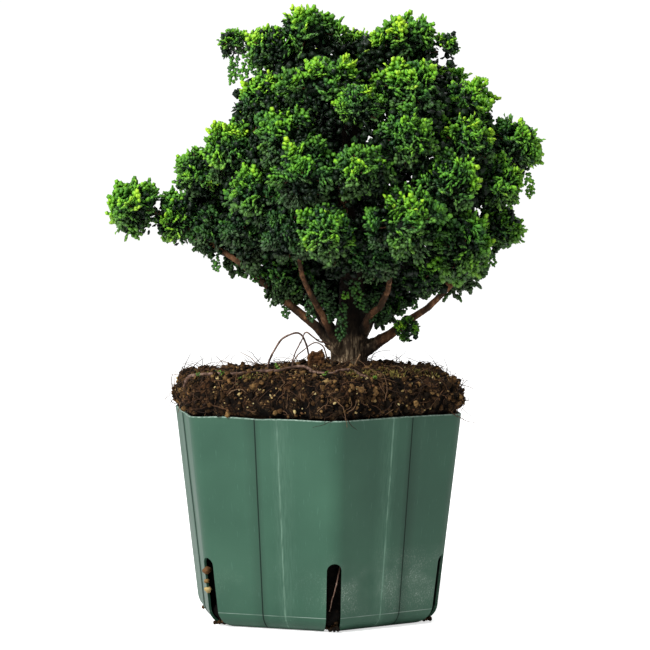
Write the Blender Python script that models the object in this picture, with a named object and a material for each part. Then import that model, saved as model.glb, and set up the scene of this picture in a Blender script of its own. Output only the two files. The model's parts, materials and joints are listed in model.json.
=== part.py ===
"""A young hinoki cypress bonsai in its hexagonal nursery slit pot.

Sizes are in metres, +Z is up, and the origin is the centre of the pot's underside.
The front of the tree looks towards -Y.
"""

import math
import random

import bmesh
import bpy
from mathutils import Matrix, Vector, noise

MM = 0.001
UP = Vector((0, 0, 1))
HEX_SHARE = math.cos(math.radians(30))  # a hexagon's middle radius over its corner radius

# The pot, a thin moulded hexagon with a slit up each corner.
POT_HEIGHT = 109 * MM
POT_MOUTH_CORNER = 81.5 * MM  # from the axis to the sharp corner of the outline, at the rim
POT_FOOT_CORNER = 67.5 * MM  # the same, where the wall would meet the floor
POT_WALL = 1.3 * MM
POT_FLOOR_ROUND = 9 * MM
POT_CORNER_ROUND = 10 * MM
SHARPEST_CORNER_ROUND = 3 * MM
FOOT_RING_DEGREES = (0, 30, 60, 90)
POT_FRONT_CORNER_DEG = 7.7  # the corner nearest the front, turned towards +X
BAND_WIDTH = 13 * MM
BAND_STEP = 0.6 * MM
SLIT_WIDTH = 7.6 * MM
SLIT_TOP = 36 * MM
SLIT_INNER_END = 49 * MM
SLIT_OVERRUN = 5 * MM
SLIT_TOP_STEPS = 6

# The root ball, which stands proud of the rim.
GAP = 0.4 * MM
SOIL_RISE = 19 * MM
SOIL_MOUND = 5.5 * MM
SOIL_MOUND_SPREAD = 24 * MM
SOIL_LUMP = 1.6 * MM
SOIL_LUMP_WIDTHS = (13 * MM, 6 * MM)  # the broad ones and the small ones
SOIL_SIDE_LUMP_WIDTH = 9 * MM
SOIL_TOP_SHARES = (0.8, 0.6, 0.4, 0.2)  # where the top's inner rings run
BALL_CORNER_ROUND = 34 * MM  # the ball has shrunk away from the slits
BALL_SHRUNK = (14 * MM, 40 * MM)  # between these heights
SOIL_SIDE = ((0.06, -1 * MM), (0.4, -0.4 * MM), (0.72, 1 * MM))  # share of the rise, step inwards
SOIL_SHOULDER = ((3 * MM, 0.12), (8 * MM, 0))  # step inwards, share of the rise still missing

# The wood: where each limb runs, as (x, y, z, radius) in millimetres.
TRUNK_FOOT = Vector((16, 5, 112)) * MM
STEM = (
    (16, 5, 112, 10.5), (16, 5, 126, 11.2), (17, 5, 132, 9.9), (17.5, 5, 143, 9.6), (19, 4, 160, 7.4),
    (18, 2, 185, 6), (15, 2, 215, 4.8), (17, 4, 250, 3.4), (10, 4, 280, 2.3), (0, 5, 301, 1.3),
)
LIMBS = {
    "left_outer": (
        (13, 4, 138, 4.2), (0, 2, 152, 2.8), (-17, 0, 166, 2.3), (-38, -2, 184, 1.9),
        (-60, 2, 199, 1.6), (-78, 1, 210, 1.4), (-92, 0, 214, 1.1),
    ),
    "left_front": (
        (13, -1, 139, 3.6), (3, -12, 159, 2), (-2, -20, 168, 1.8), (-7, -27, 179, 1.6),
        (-10, -36, 194, 1.3),
    ),
    "right_front": (
        (23, 0, 146, 3.4), (28, -12, 159, 2.2), (33, -19, 163, 2), (37, -26, 172, 1.8),
        (38, -36, 180, 1.4),
    ),
    "right_low": (
        (24, 3, 139, 4.6), (39, 1, 148, 2.8), (46, -3, 154, 2.4), (58, -7, 162, 2),
        (70, -9, 174, 1.7), (79, -10, 184, 1.3),
    ),
    "back_left": ((13, 8, 142, 4.2), (-2, 24, 163, 2.6), (-20, 32, 190, 2), (-34, 33, 216, 1.5)),
    "back_right": ((22, 8, 144, 4.2), (34, 25, 166, 2.6), (50, 38, 190, 2.1), (64, 42, 212, 1.6)),
    "middle_left": (
        (17, 3, 188, 3.4), (-6, -2, 212, 2.2), (-28, -8, 231, 1.8), (-43, -12, 244, 1.3),
    ),
    "middle_right": (
        (16, 2, 198, 3.4), (40, -2, 218, 2.4), (66, -4, 236, 2), (88, -2, 245, 1.6),
        (104, 0, 248, 1.2),
    ),
    "front": ((16, 1, 200, 3), (14, -20, 216, 2), (12, -44, 228, 1.5)),
    "back": ((16, 4, 200, 3.2), (16, 28, 216, 2.2), (18, 54, 226, 1.6)),
    "top_right": ((17, 4, 246, 2.8), (30, 1, 272, 2), (46, 4, 296, 1.3)),
}
OLD_ROOTS = {
    "high": (
        (12, 2, 138, 1.4), (4, -1, 144, 0.7), (-5, -4, 149, 0.6), (-11, -6, 138, 0.6),
        (-13, -7, 125, 0.6),
    ),
    "low": (
        (13, 0, 134, 1.4), (5, -3, 142, 0.7), (-3, -6, 145, 0.6), (-9, -9, 139, 0.6),
        (-15, -12, 125, 0.6),
    ),
}
STEM_SIDES, LIMB_SIDES, ROOT_SIDES, TWIG_SIDES = 10, 6, 5, 4
TWIG_ROOT_RADIUS = 1.1 * MM
TWIG_TIP_RADIUS = 0.8 * MM
TWIG_PARENT_SHARE = 0.9  # a twig is this much thinner than the wood it leaves
TWIG_SAG = 0.08  # of its length
LONG_TWIG = 60 * MM
NEAR_ENOUGH = 4 * MM  # a tuft this near a limb needs no twig
DOWNHILL_COST = 1.5

# The loose roots: one lies along the front of the soil, one arches out of it.
SURFACE_ROOT = (
    (-66, -22), (-54, -30), (-43, -33), (-35, -27), (-29, -21), (-22, -25), (-14, -21),
    (-5, -21), (1, -30), (8, -36), (15, -30), (21, -33), (25, -42), (26, -52), (25, -60),
)
SURFACE_ROOT_RADIUS = 1.2 * MM
SURFACE_ROOT_TIP_RADIUS = 0.7 * MM
ROOT_END_DEPTH = 5 * MM
ARCHING_ROOT = (
    (-27, -2, 124), (-24, -3, 135), (-20, -3, 143), (-14, -4, 148), (-8, -4, 148), (-4, 0, 138),
    (-3, 2, 124),
)
ARCHING_ROOT_RADIUS = 0.55 * MM

# The flake of bark that stands in the soil beside the trunk.
CHIP_FOOT = Vector((0, -9, 133.5)) * MM
CHIP_OUTLINE = ((-4, -2), (3.5, -2.4), (4.6, 3.4), (3.2, 7.4), (0.5, 5.6), (-2.4, 6.4), (-4.8, 3))
CHIP_THICKNESS = 2.2 * MM
CHIP_LEAN_DEG = 14
CHIP_MIDDLE_HEIGHT = 3 * MM
CHIP_CORNER_SHARE = 1.4  # a corner moves this much more than a side when the flake grows

# The foliage: each tuft's centre and reach as seen on the crown's outside, in millimetres.
NEW_TUFTS = {
    "prong_left": (-42, 5, 300, 9.5), "prong_middle": (-26, 1, 298, 12.5), "peak": (-4, 4, 306, 15),
    "top_middle": (21, 14, 296, 14), "top_right": (47, 4, 300, 15.5),
    "top_right_tip": (66, 1, 298, 9), "high_spray": (27, -50, 266, 12),
    "shoulder_left": (-25, -12, 272, 13.5), "front_top": (0, -34, 277, 15.5),
    "front_top_right": (52, -27, 274, 15.5), "shoulder_right": (80, -1, 265, 14),
    "arm_tip_right": (105, 0, 246, 13), "front_high_left": (-18, -40, 250, 15),
    "side_high_left": (-45, -13, 243, 14), "side_left": (-63, -4, 232, 13),
    "far_left_tip": (-95, 0, 215, 13.5), "far_left_middle": (-76, 4, 211, 14),
    "front_left": (-6, -62, 230, 15), "front_middle": (8, -70, 202, 14),
    "front_high_right": (49, -52, 249, 15), "front_right": (68, -50, 226, 15),
    "front_right_low": (46, -68, 209, 15.5), "side_low_right": (74, -44, 195, 15),
    "arm_low_right": (95, -14, 225, 14), "edge_right": (95, -4, 202, 13.5),
    "front_left_inner": (-32, -35, 222, 15), "low_sprig": (47, -12, 149, 7.5),
    "side_right": (79, -24, 247, 14), "front_centre": (24, -69, 232, 14),
    "back_top_left": (-13, 38, 282, 16.5), "back_top": (29, 47, 278, 17.5),
    "back_top_right": (65, 32, 274, 15.5), "back_high_left": (-26, 34, 257, 15.5),
    "back_high": (4, 66, 251, 18), "back_high_right": (48, 62, 248, 18),
    "back_side_right": (87, 31, 236, 16), "back_side_left": (-56, 26, 224, 15),
    "back_left": (-22, 54, 220, 18), "back_middle": (22, 76, 216, 18),
    "back_right": (67, 54, 209, 17.5),
}
OLD_TUFTS = {
    "far_left_inner": (-57, 2, 199, 13), "skirt_right": (78, -14, 185, 13.5),
    "skirt_right_low": (59, -15, 178, 12.5), "skirt_left": (-36, -14, 195, 15.5),
    "skirt_left_low": (-19, 4, 173, 15), "front_left_low": (-12, -47, 202, 14.5),
    "front_low": (10, -34, 194, 12.5), "front_low_right": (34, -49, 191, 13.5),
    "back_low_left": (-36, 24, 192, 15), "back_low": (-3, 40, 172, 16),
    "back_low_right": (38, 54, 180, 17), "back_skirt_right": (70, 26, 178, 14.5),
    "back_skirt": (34, 24, 161, 13),
}
TUFTS = NEW_TUFTS | OLD_TUFTS
CROWN_HEART = Vector((14, 0, 225)) * MM
FILLING = 1.4  # how much larger a tuft really is, because its inner side is hidden
CORE_SHARE = 0.48  # of a tuft's reach
CORE_WAVER = 0.15
CORE_STEP_INWARDS = 0.9
FAN_ROOT_SHARE = 0.36
FAN_HALF_SPREAD_DEG = 48
FAN_LOBES = (3, 4, 4)
FAN_LOBE_REACHES = (0.92, 1.04)
FAN_NOTCH = 0.66
FAN_SIDE_SHORTFALL = 0.12
FAN_SPINE = 0.45  # where the blade is thickest, as a share of its length
FAN_CUP = 0.12
FAN_THICKNESS = 1.4 * MM
FANS_PER_REACH = 0.32 / MM
FIRST_TILT_DEG, LAST_TILT_DEG = 14, 112
UPWARD_LEAN = 0.35
FAN_TWISTS_DEG = (-30, 30, 0, -60, 60, 90)
FAN_LENGTH_STEPS = (1, 0.9, 0.8, 0.7, 0.6)
GOLDEN_ANGLE = math.pi * (3 - math.sqrt(5))
CELL_GAP = 0.4 * MM
SEED = 7

# Finishes: colour, roughness.
FINISHES = {
    "pot_plastic": ((0.07, 0.20, 0.13), 0.45),
    "soil": ((0.06, 0.035, 0.018), 0.95),
    "bark": ((0.10, 0.055, 0.03), 0.85),
    "root": ((0.16, 0.09, 0.06), 0.8),
    "bark_chip": ((0.30, 0.13, 0.04), 0.9),
    "foliage_new": ((0.10, 0.33, 0.03), 0.5),
    "foliage_old": ((0.03, 0.12, 0.04), 0.6),
}


def clear_scene():
    for obj in list(bpy.data.objects):
        bpy.data.objects.remove(obj)


def finish(name):
    """The Principled material of that name."""
    found = bpy.data.materials.get(name)
    if found:
        return found
    made = bpy.data.materials.new(name)
    made.use_nodes = True
    colour, roughness = FINISHES[name]
    shader = made.node_tree.nodes["Principled BSDF"]
    shader.inputs["Base Color"].default_value = (*colour, 1)
    shader.inputs["Roughness"].default_value = roughness
    shader.inputs["Metallic"].default_value = 0
    return made


def mesh_object(name, points, faces, material=None):
    mesh = bpy.data.meshes.new(name)
    mesh.from_pydata([tuple(p) for p in points], [], faces)
    obj = bpy.data.objects.new(name, mesh)
    bpy.context.scene.collection.objects.link(obj)
    if material:
        mesh.materials.append(finish(material))
    return obj


def lofted(name, rings, material=None):
    """A closed body through rings of equally many points, each end closed to its middle."""
    count = len(rings[0])
    points = [p for ring in rings for p in ring]
    faces = []
    for low in range(len(rings) - 1):
        for i in range(count):
            a, b = low * count + i, low * count + (i + 1) % count
            faces.append((a, b, b + count, a + count))
    for ring, first in ((rings[0], 0), (rings[-1], (len(rings) - 1) * count)):
        points.append(sum((Vector(p) for p in ring), Vector()) / count)
        middle = len(points) - 1
        for i in range(count):
            a, b = first + i, first + (i + 1) % count
            faces.append((middle, b, a) if first == 0 else (middle, a, b))
    return mesh_object(name, points, faces, material)


def boolean(obj, operation, other=None, group=None):
    """Cuts or joins obj and keeps the outcome as its own mesh."""
    modifier = obj.modifiers.new("cut", "BOOLEAN")
    modifier.operation = operation
    modifier.solver = "MANIFOLD"
    if group:
        modifier.operand_type = "COLLECTION"
        modifier.collection = group
    else:
        modifier.object = other
    graph = bpy.context.evaluated_depsgraph_get()
    made = bpy.data.meshes.new_from_object(obj.evaluated_get(graph))
    obj.modifiers.remove(modifier)
    old, obj.data = obj.data, made
    made.name = obj.name
    bpy.data.meshes.remove(old)


def cut_away(obj, cutter):
    boolean(obj, "DIFFERENCE", cutter)
    bpy.data.objects.remove(cutter)


def fused(obj, others):
    """Joins others to obj in one Boolean union on a collection, and removes them."""
    group = bpy.data.collections.new("to_join")
    bpy.context.scene.collection.children.link(group)
    for other in others:
        bpy.context.scene.collection.objects.unlink(other)
        group.objects.link(other)
    boolean(obj, "UNION", group=group)
    for other in others:
        bpy.data.objects.remove(other)
    bpy.data.collections.remove(group)
    return obj


def bodies_of(mesh):
    """The separate bodies of a bmesh, each a set of its vertices."""
    left = set(mesh.verts)
    bodies = []
    while left:
        body, front = set(), [left.pop()]
        while front:
            vert = front.pop()
            body.add(vert)
            linked = {edge.other_vert(vert) for edge in vert.link_edges} & left
            left -= linked
            front.extend(linked)
        bodies.append(body)
    return bodies


def drop_scraps(obj):
    """Keeps only the largest of the separate bodies that a cut has left."""
    mesh = bmesh.new()
    mesh.from_mesh(obj.data)
    bodies = sorted(bodies_of(mesh), key=len)
    scraps = [vert for body in bodies[:-1] for vert in body]
    bmesh.ops.delete(mesh, geom=scraps, context="VERTS")
    mesh.to_mesh(obj.data)
    mesh.free()


def smooth(obj, angle_deg):
    obj.data.shade_smooth()
    obj.data.set_sharp_from_angle(angle=math.radians(angle_deg))
    return obj


# The pot

def corner_angle(side):
    return math.radians(POT_FRONT_CORNER_DEG - 90 + 60 * side)


def heading(angle):
    return Vector((math.cos(angle), math.sin(angle), 0))


def hexagon(corner, corner_round, z, band_step=None):
    """A hexagon with round corners, as points, with or without a raised band down each side's middle."""
    apothem = corner * HEX_SHARE
    half = BAND_WIDTH / 2
    if band_step is None:
        arc_steps = 2
        side_points = ((0, 0),)
    else:
        arc_steps = 3
        side_points = ((-half - BAND_STEP, 0), (-half, band_step), (half, band_step), (half + BAND_STEP, 0))
    points = []
    for side in range(6):
        angle = corner_angle(side)
        centre = heading(angle) * (apothem - corner_round) / HEX_SHARE
        for step in range(arc_steps + 1):
            turn = math.radians(-30 + 60 * step / arc_steps)
            points.append(centre + heading(angle + turn) * corner_round)
        outward = heading(angle + math.radians(30))
        along = heading(angle + math.radians(120))
        for offset, lift in side_points:
            points.append(outward * (apothem + lift) + along * offset)
    return [p + UP * z for p in points]


def pot_corner_at(z):
    """How far the outer wall's sharp corner is from the axis at this height."""
    return POT_FOOT_CORNER + (POT_MOUTH_CORNER - POT_FOOT_CORNER) * z / POT_HEIGHT


def foot_rings(inset, round_radius, floor, band_step=None):
    """Rings from the floor and round the foot of a pot-shaped surface."""
    rings = []
    for degrees in FOOT_RING_DEGREES:
        beta = math.radians(degrees)
        z = floor + round_radius * (1 - math.cos(beta))
        pull = round_radius * (1 - math.sin(beta))
        corner = pot_corner_at(z) - (inset + pull) / HEX_SHARE
        corner_round = max(POT_CORNER_ROUND - inset - pull, SHARPEST_CORNER_ROUND)
        lift = None if band_step is None else band_step * math.sin(beta)
        rings.append(hexagon(corner, corner_round, z, lift))
    return rings


def rim_ring(inset, band_step=None):
    corner = POT_MOUTH_CORNER - inset / HEX_SHARE
    return hexagon(corner, POT_CORNER_ROUND - inset, POT_HEIGHT, band_step)


def slit_cutter(side):
    """An upright slot with a round top that passes through one corner and into the floor."""
    radius = SLIT_WIDTH / 2
    outline = [(-radius, -SLIT_OVERRUN), (radius, -SLIT_OVERRUN)]
    for step in range(SLIT_TOP_STEPS + 1):
        angle = math.pi * step / SLIT_TOP_STEPS
        outline.append((radius * math.cos(angle), SLIT_TOP - radius + radius * math.sin(angle)))
    outward = heading(corner_angle(side))
    across = Vector((-outward.y, outward.x, 0))
    ends = (SLIT_INNER_END, POT_MOUTH_CORNER + SLIT_OVERRUN)
    return lofted("slit", [[outward * end + across * u + UP * v for u, v in outline] for end in ends])


def make_pot():
    outer = foot_rings(0, POT_FLOOR_ROUND, 0, BAND_STEP) + [rim_ring(0, BAND_STEP)]
    inner = foot_rings(POT_WALL, POT_FLOOR_ROUND - POT_WALL, POT_WALL, 0) + [rim_ring(POT_WALL, 0)]
    pot = lofted("pot", outer + inner[::-1], "pot_plastic")
    for side in range(6):
        cut_away(pot, slit_cutter(side))
    return smooth(pot, 30)


# The soil

def soil_height(x, y):
    """The height of the soil's top above the pot's foot, before its shoulder falls away."""
    away = (x - TRUNK_FOOT.x) ** 2 + (y - TRUNK_FOOT.y) ** 2
    mound = SOIL_MOUND * math.exp(-away / (2 * SOIL_MOUND_SPREAD**2))
    broad, small = (noise.noise(Vector((x, y, 0)) / width) for width in SOIL_LUMP_WIDTHS)
    return POT_HEIGHT + SOIL_RISE + mound + SOIL_LUMP * (broad + small / 2)


def on_soil(x, y, lower=0.0):
    return Vector((x, y, soil_height(x, y) - lower))


def make_soil():
    """The root ball: it fills the pot, stands above the rim flush with the wall, and is lumpy on top."""
    inset = POT_WALL + GAP
    rings = foot_rings(inset, POT_FLOOR_ROUND - inset, inset)
    for z in BALL_SHRUNK:
        rings.append(hexagon(pot_corner_at(z) - inset / HEX_SHARE, BALL_CORNER_ROUND, z))
    above_slits = (BALL_SHRUNK[1] + POT_HEIGHT) / 2
    rings.append(hexagon(pot_corner_at(above_slits) - inset / HEX_SHARE, POT_CORNER_ROUND, above_slits))
    rings.append(hexagon(POT_MOUTH_CORNER - inset / HEX_SHARE, POT_CORNER_ROUND, POT_HEIGHT + GAP))
    for rise_share, inwards in SOIL_SIDE:
        ring = hexagon(POT_MOUTH_CORNER - inwards, POT_CORNER_ROUND, POT_HEIGHT + SOIL_RISE * rise_share)
        lumps = [SOIL_LUMP * noise.noise(p / SOIL_SIDE_LUMP_WIDTH) for p in ring]
        rings.append([p + p.xy.normalized().to_3d() * lump for p, lump in zip(ring, lumps)])
    for inwards, missing in SOIL_SHOULDER:
        ring = hexagon(POT_MOUTH_CORNER - inwards, POT_CORNER_ROUND, 0)
        rings.append([on_soil(p.x, p.y, missing * SOIL_RISE) for p in ring])
    for share in SOIL_TOP_SHARES:
        rings.append([on_soil(p.x * share, p.y * share) for p in ring])
    return smooth(lofted("soil", rings, "soil"), 50)


def make_chip(name, grow=0.0, material=None):
    """An upright flake of bark; grow makes it larger all round."""
    middle = Vector((0, CHIP_MIDDLE_HEIGHT))
    rings = []
    for side in (-1, 1):
        ring = []
        for u, v in CHIP_OUTLINE:
            spot = Vector((u, v)) * MM
            spot += (spot - middle).normalized() * grow * CHIP_CORNER_SHARE
            ring.append(Vector((spot.x, side * (CHIP_THICKNESS / 2 + grow), spot.y)))
        rings.append(ring)
    chip = lofted(name, rings[::-1], material)
    chip.data.transform(Matrix.Translation(CHIP_FOOT) @ Matrix.Rotation(math.radians(CHIP_LEAN_DEG), 4, "X"))
    return chip


# The wood

def tube(name, route, sides, grow=0.0, material=None):
    """A closed tube along (x, y, z, radius) points in metres; grow fattens and lengthens it."""
    spots = [Vector(p[:3]) for p in route]
    spots[0] = spots[0] + (spots[0] - spots[1]).normalized() * grow
    spots[-1] = spots[-1] + (spots[-1] - spots[-2]).normalized() * grow
    rings = []
    side = (spots[1] - spots[0]).orthogonal().normalized()
    for i, spot in enumerate(spots):
        ahead = (spots[min(i + 1, len(spots) - 1)] - spots[max(i - 1, 0)]).normalized()
        side = (side - ahead * side.dot(ahead)).normalized()
        other = ahead.cross(side)
        radius = route[i][3] + grow
        turns = [2 * math.pi * k / sides for k in range(sides)]
        rings.append([spot + (side * math.cos(t) + other * math.sin(t)) * radius for t in turns])
    return lofted(name, rings, material)


def in_metres(points):
    return [tuple(value * MM for value in p) for p in points]


def twig_routes(wood):
    """A twig from the nearest wood to each tuft that no limb reaches, the inner tufts first."""
    spots = [(Vector(p[:3]), p[3]) for route, _ in wood for p in route]
    for name in sorted(TUFTS, key=lambda name: (tuft_centre(name) - TRUNK_FOOT).xy.length):
        goal = tuft_centre(name)

        def cost(spot):
            """Far wood costs more, and so does wood above the tuft, because twigs grow upwards."""
            return (goal - spot[0]).length + DOWNHILL_COST * max(0.0, spot[0].z - goal.z)

        start, thickness = min(spots, key=cost)
        length = (goal - start).length
        if length < NEAR_ENOUGH:
            continue
        wished = TWIG_ROOT_RADIUS * (1 + length / LONG_TWIG)
        root = max(TWIG_TIP_RADIUS, min(wished, thickness * TWIG_PARENT_SHARE))
        bend = (start + goal) / 2 - UP * TWIG_SAG * length
        route = [(*start, root), (*bend, (root + TWIG_TIP_RADIUS) / 2), (*goal, TWIG_TIP_RADIUS)]
        spots += [(Vector(p[:3]), p[3]) for p in route[1:]]
        yield route


def wood_routes():
    """Every limb, twig and old root but the stem, with how many sides it has."""
    limbs = [(in_metres(points), LIMB_SIDES) for points in LIMBS.values()]
    stem = [(in_metres(STEM), STEM_SIDES)]
    twigs = [(route, TWIG_SIDES) for route in twig_routes(stem + limbs)]
    roots = [(in_metres(points), ROOT_SIDES) for points in OLD_ROOTS.values()]
    return stem + limbs + twigs + roots


def make_wood(name, routes, grow=0.0, material=None):
    """The stem, limbs, twigs and the old roots that spring from it, as one body."""
    stem, *others = [tube(name, route, sides, grow) for route, sides in routes]
    if material:
        stem.data.materials.append(finish(material))
    return fused(stem, others)


def surface_root_route():
    """The long root follows the soil, half sunk in it, and dives in at both ends."""
    last = len(SURFACE_ROOT) - 1
    points = []
    for i, (x, y) in enumerate(SURFACE_ROOT):
        radius = SURFACE_ROOT_RADIUS + (SURFACE_ROOT_TIP_RADIUS - SURFACE_ROOT_RADIUS) * i / last
        lower = ROOT_END_DEPTH if i in (0, last) else 0
        points.append((*on_soil(x * MM, y * MM, lower), radius))
    return points


def arching_root_route():
    return [(*spot, ARCHING_ROOT_RADIUS) for spot in in_metres(ARCHING_ROOT)]


# The foliage

def tuft_reach(name):
    return TUFTS[name][3] * MM * FILLING


def tuft_centre(name):
    """The tuft's own centre, drawn in towards the heart so that its outer side stays in place."""
    seen = Vector(TUFTS[name][:3]) * MM
    inwards = (CROWN_HEART - seen).normalized()
    return seen + inwards * tuft_reach(name) * (1 - 1 / FILLING)


def fan(length, lobes, draw):
    """One spray of scale leaves: a fan with a lobe for each branchlet, thin-edged and cupped.

    Its edge lies in its own X-Y plane, with the stalk end at the origin, and it opens along +X.
    """
    half = math.radians(FAN_HALF_SPREAD_DEG)
    points = [Vector()]
    for i in range(2 * lobes - 1):
        angle = -half + 2 * half * i / (2 * lobes - 2)
        reach = length * (1 - FAN_SIDE_SHORTFALL * (angle / half) ** 2) * draw.uniform(*FAN_LOBE_REACHES)
        if i % 2:
            reach *= FAN_NOTCH
        points.append(heading(angle) * reach)
    count = len(points)
    faces = []
    for side in (1, -1):
        points.append(Vector((FAN_SPINE * length, 0, FAN_CUP * length + side * FAN_THICKNESS / 2)))
    for i in range(count):
        j = (i + 1) % count
        faces += [(i, j, count), (j, i, count + 1)]
    return points, faces


def fan_directions(centre, reach, draw):
    """The ways that a tuft's fans grow: a golden-angle rosette that looks away from the crown's heart."""
    axis = ((centre - CROWN_HEART).normalized() + UP * UPWARD_LEAN).normalized()
    side = axis.orthogonal().normalized()
    count = round(reach * FANS_PER_REACH)
    start = draw.uniform(0, 2 * math.pi)
    for i in range(count):
        share = (i + 0.5) / count
        tilt = math.radians(FIRST_TILT_DEG + (LAST_TILT_DEG - FIRST_TILT_DEG) * share)
        around = Matrix.Rotation(start + GOLDEN_ANGLE * i, 3, axis) @ side
        ahead = axis * math.cos(tilt) + around * math.sin(tilt)
        yield ahead, (axis - ahead * axis.dot(ahead)).normalized()


def cell_walls(name):
    """Planes, as a point and a normal, that share the room between a tuft and each neighbour."""
    centre, reach = tuft_centre(name), tuft_reach(name)
    walls = []
    for other in TUFTS:
        away = tuft_centre(other) - centre
        if other != name and away.length < reach + tuft_reach(other) + CELL_GAP:
            middle = (away.length**2 + reach**2 - tuft_reach(other) ** 2) / (2 * away.length)
            walls.append((centre + away.normalized() * (middle - CELL_GAP / 2), away.normalized()))
    return walls


def inside(spot, walls):
    return all((spot - place).dot(normal) < 0 for place, normal in walls)


def clears(spot, wood):
    """Whether a spot lies outside every stretch of wood, given as (start, end, radius)."""
    for start, end, radius in wood:
        along = (end - start).normalized()
        run = min(max((spot - start).dot(along), 0), (end - start).length)
        if (start + along * run - spot).length < radius + GAP + FAN_THICKNESS / 2:
            return False
    return True


def nearby_wood(centre, reach, routes):
    """The stretches of wood that pass through a tuft's ball."""
    found = []
    for route, _ in routes:
        for a, b in zip(route, route[1:]):
            start, end = Vector(a[:3]), Vector(b[:3])
            if (start + end - 2 * centre).length / 2 < reach + (end - start).length / 2:
                found.append((start, end, max(a[3], b[3])))
    return found


def fitted_fan(centre, ahead, face, reach, walls, wood, draw):
    """A fan turned, and if need be shortened, to stay in its tuft's room and off the wood."""
    lobes = draw.choice(FAN_LOBES)
    seed = draw.random()
    for length_share in FAN_LENGTH_STEPS:
        for twist_deg in FAN_TWISTS_DEG:
            up = Matrix.Rotation(math.radians(twist_deg), 3, ahead) @ face
            turn = Matrix((ahead, up.cross(ahead), up)).transposed().to_4x4()
            root = centre + ahead * reach * FAN_ROOT_SHARE
            length = reach * (1 - FAN_ROOT_SHARE) * length_share
            points, faces = fan(length, lobes, random.Random(seed))
            placed = [Matrix.Translation(root) @ turn @ p for p in points]
            outer = placed[1:-2]
            middles = [(p + root) / 2 for p in outer]
            if all(inside(p, walls) for p in placed) and all(clears(p, wood) for p in outer + middles):
                return mesh_object("fan", placed, faces)
    return None


def tuft_core(name, walls, draw):
    """The small dark heart of a tuft, an uneven ball of few faces that its fans stand out of."""
    centre = tuft_centre(name)
    ball = bmesh.new()
    bmesh.ops.create_icosphere(ball, subdivisions=1, radius=tuft_reach(name) * CORE_SHARE)
    for vert in ball.verts:
        vert.co *= draw.uniform(1 - CORE_WAVER, 1 + CORE_WAVER)
        while not inside(centre + vert.co, walls):
            vert.co *= CORE_STEP_INWARDS
        vert.co += centre
    node = "foliage_" + name
    mesh = bpy.data.meshes.new(node)
    ball.to_mesh(mesh)
    ball.free()
    mesh.materials.append(finish("foliage_new" if name in NEW_TUFTS else "foliage_old"))
    core = bpy.data.objects.new(node, mesh)
    bpy.context.scene.collection.objects.link(core)
    return core


def make_tuft(name, routes, clearance):
    """A tuft of fans on a small core, kept clear of its neighbours and of the wood."""
    centre, reach = tuft_centre(name), tuft_reach(name)
    draw = random.Random(f"{SEED} {name}")
    walls = cell_walls(name)
    wood = nearby_wood(centre, reach, routes)
    core = tuft_core(name, walls, draw)
    fans = [
        fitted_fan(centre, ahead, face, reach, walls, wood, draw)
        for ahead, face in fan_directions(centre, reach, draw)
    ]
    tuft = fused(core, [made for made in fans if made])
    boolean(tuft, "DIFFERENCE", clearance)
    drop_scraps(tuft)
    return tuft


def main():
    clear_scene()
    make_pot()
    soil = make_soil()
    routes = wood_routes()
    make_wood("trunk", routes, 0, "bark")
    clearance = make_wood("clearance", routes, GAP)
    boolean(soil, "DIFFERENCE", clearance)
    for name, route in (("surface_root", surface_root_route()), ("arching_root", arching_root_route())):
        tube(name, route, ROOT_SIDES, 0, "root")
        cut_away(soil, tube("groove", route, ROOT_SIDES, GAP))
    make_chip("bark_chip", 0, "bark_chip")
    cut_away(soil, make_chip("pocket", GAP))
    drop_scraps(soil)
    for name in TUFTS:
        make_tuft(name, routes, clearance)
    bpy.data.objects.remove(clearance)


main()
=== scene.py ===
# %% [markdown]
# # A hinoki cypress bonsai in its nursery pot
#
# The part was built first as plain solids at their real size: a pot, a root ball, a forked
# trunk and a tuft of foliage at each branch end. This lesson dresses those solids for a close
# look. It loads them, measures them, and puts a finer piece in the place of each one.
#
# Everything is in metres, with +Z up, and the front of the tree looks towards -Y.

import json
import math

import bpy
import numpy as np
from mathutils import Matrix, Vector, noise
from mathutils.bvhtree import BVHTree
from mathutils.kdtree import KDTree


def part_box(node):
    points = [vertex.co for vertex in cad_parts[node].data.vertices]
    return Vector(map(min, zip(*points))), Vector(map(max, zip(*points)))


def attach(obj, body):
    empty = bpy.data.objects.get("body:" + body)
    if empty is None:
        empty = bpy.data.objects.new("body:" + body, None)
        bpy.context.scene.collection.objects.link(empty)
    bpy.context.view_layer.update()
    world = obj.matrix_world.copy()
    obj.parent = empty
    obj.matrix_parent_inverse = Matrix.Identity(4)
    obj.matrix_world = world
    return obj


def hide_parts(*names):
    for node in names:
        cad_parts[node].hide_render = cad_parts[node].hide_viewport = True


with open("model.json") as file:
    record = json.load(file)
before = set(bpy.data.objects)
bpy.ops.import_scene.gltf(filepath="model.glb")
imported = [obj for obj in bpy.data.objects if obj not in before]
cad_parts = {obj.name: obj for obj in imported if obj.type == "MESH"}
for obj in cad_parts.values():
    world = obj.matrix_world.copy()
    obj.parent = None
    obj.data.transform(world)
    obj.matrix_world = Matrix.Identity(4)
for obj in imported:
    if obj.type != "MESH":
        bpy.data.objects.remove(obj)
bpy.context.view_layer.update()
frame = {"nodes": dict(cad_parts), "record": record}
MM = 0.001
UP = np.array((0.0, 0.0, 1.0))

# %% [markdown]
# ## Small helpers
#
# An operator in Blender acts on everything that is selected, so each piece starts from an empty
# selection. Pieces with thousands of faces, such as foliage, are made of arrays instead: the
# shape is modelled once, and numpy lays out its copies.

# %% Selection and pieces
def pick_only(obj):
    """Makes obj the one selected and active object."""
    for other in bpy.context.selected_objects:
        other.select_set(False)
    obj.select_set(True)
    bpy.context.view_layer.objects.active = obj


def new_object(name, data):
    """An object with this data, linked to the scene."""
    obj = bpy.data.objects.new(name, data)
    bpy.context.scene.collection.objects.link(obj)
    return obj


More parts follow.
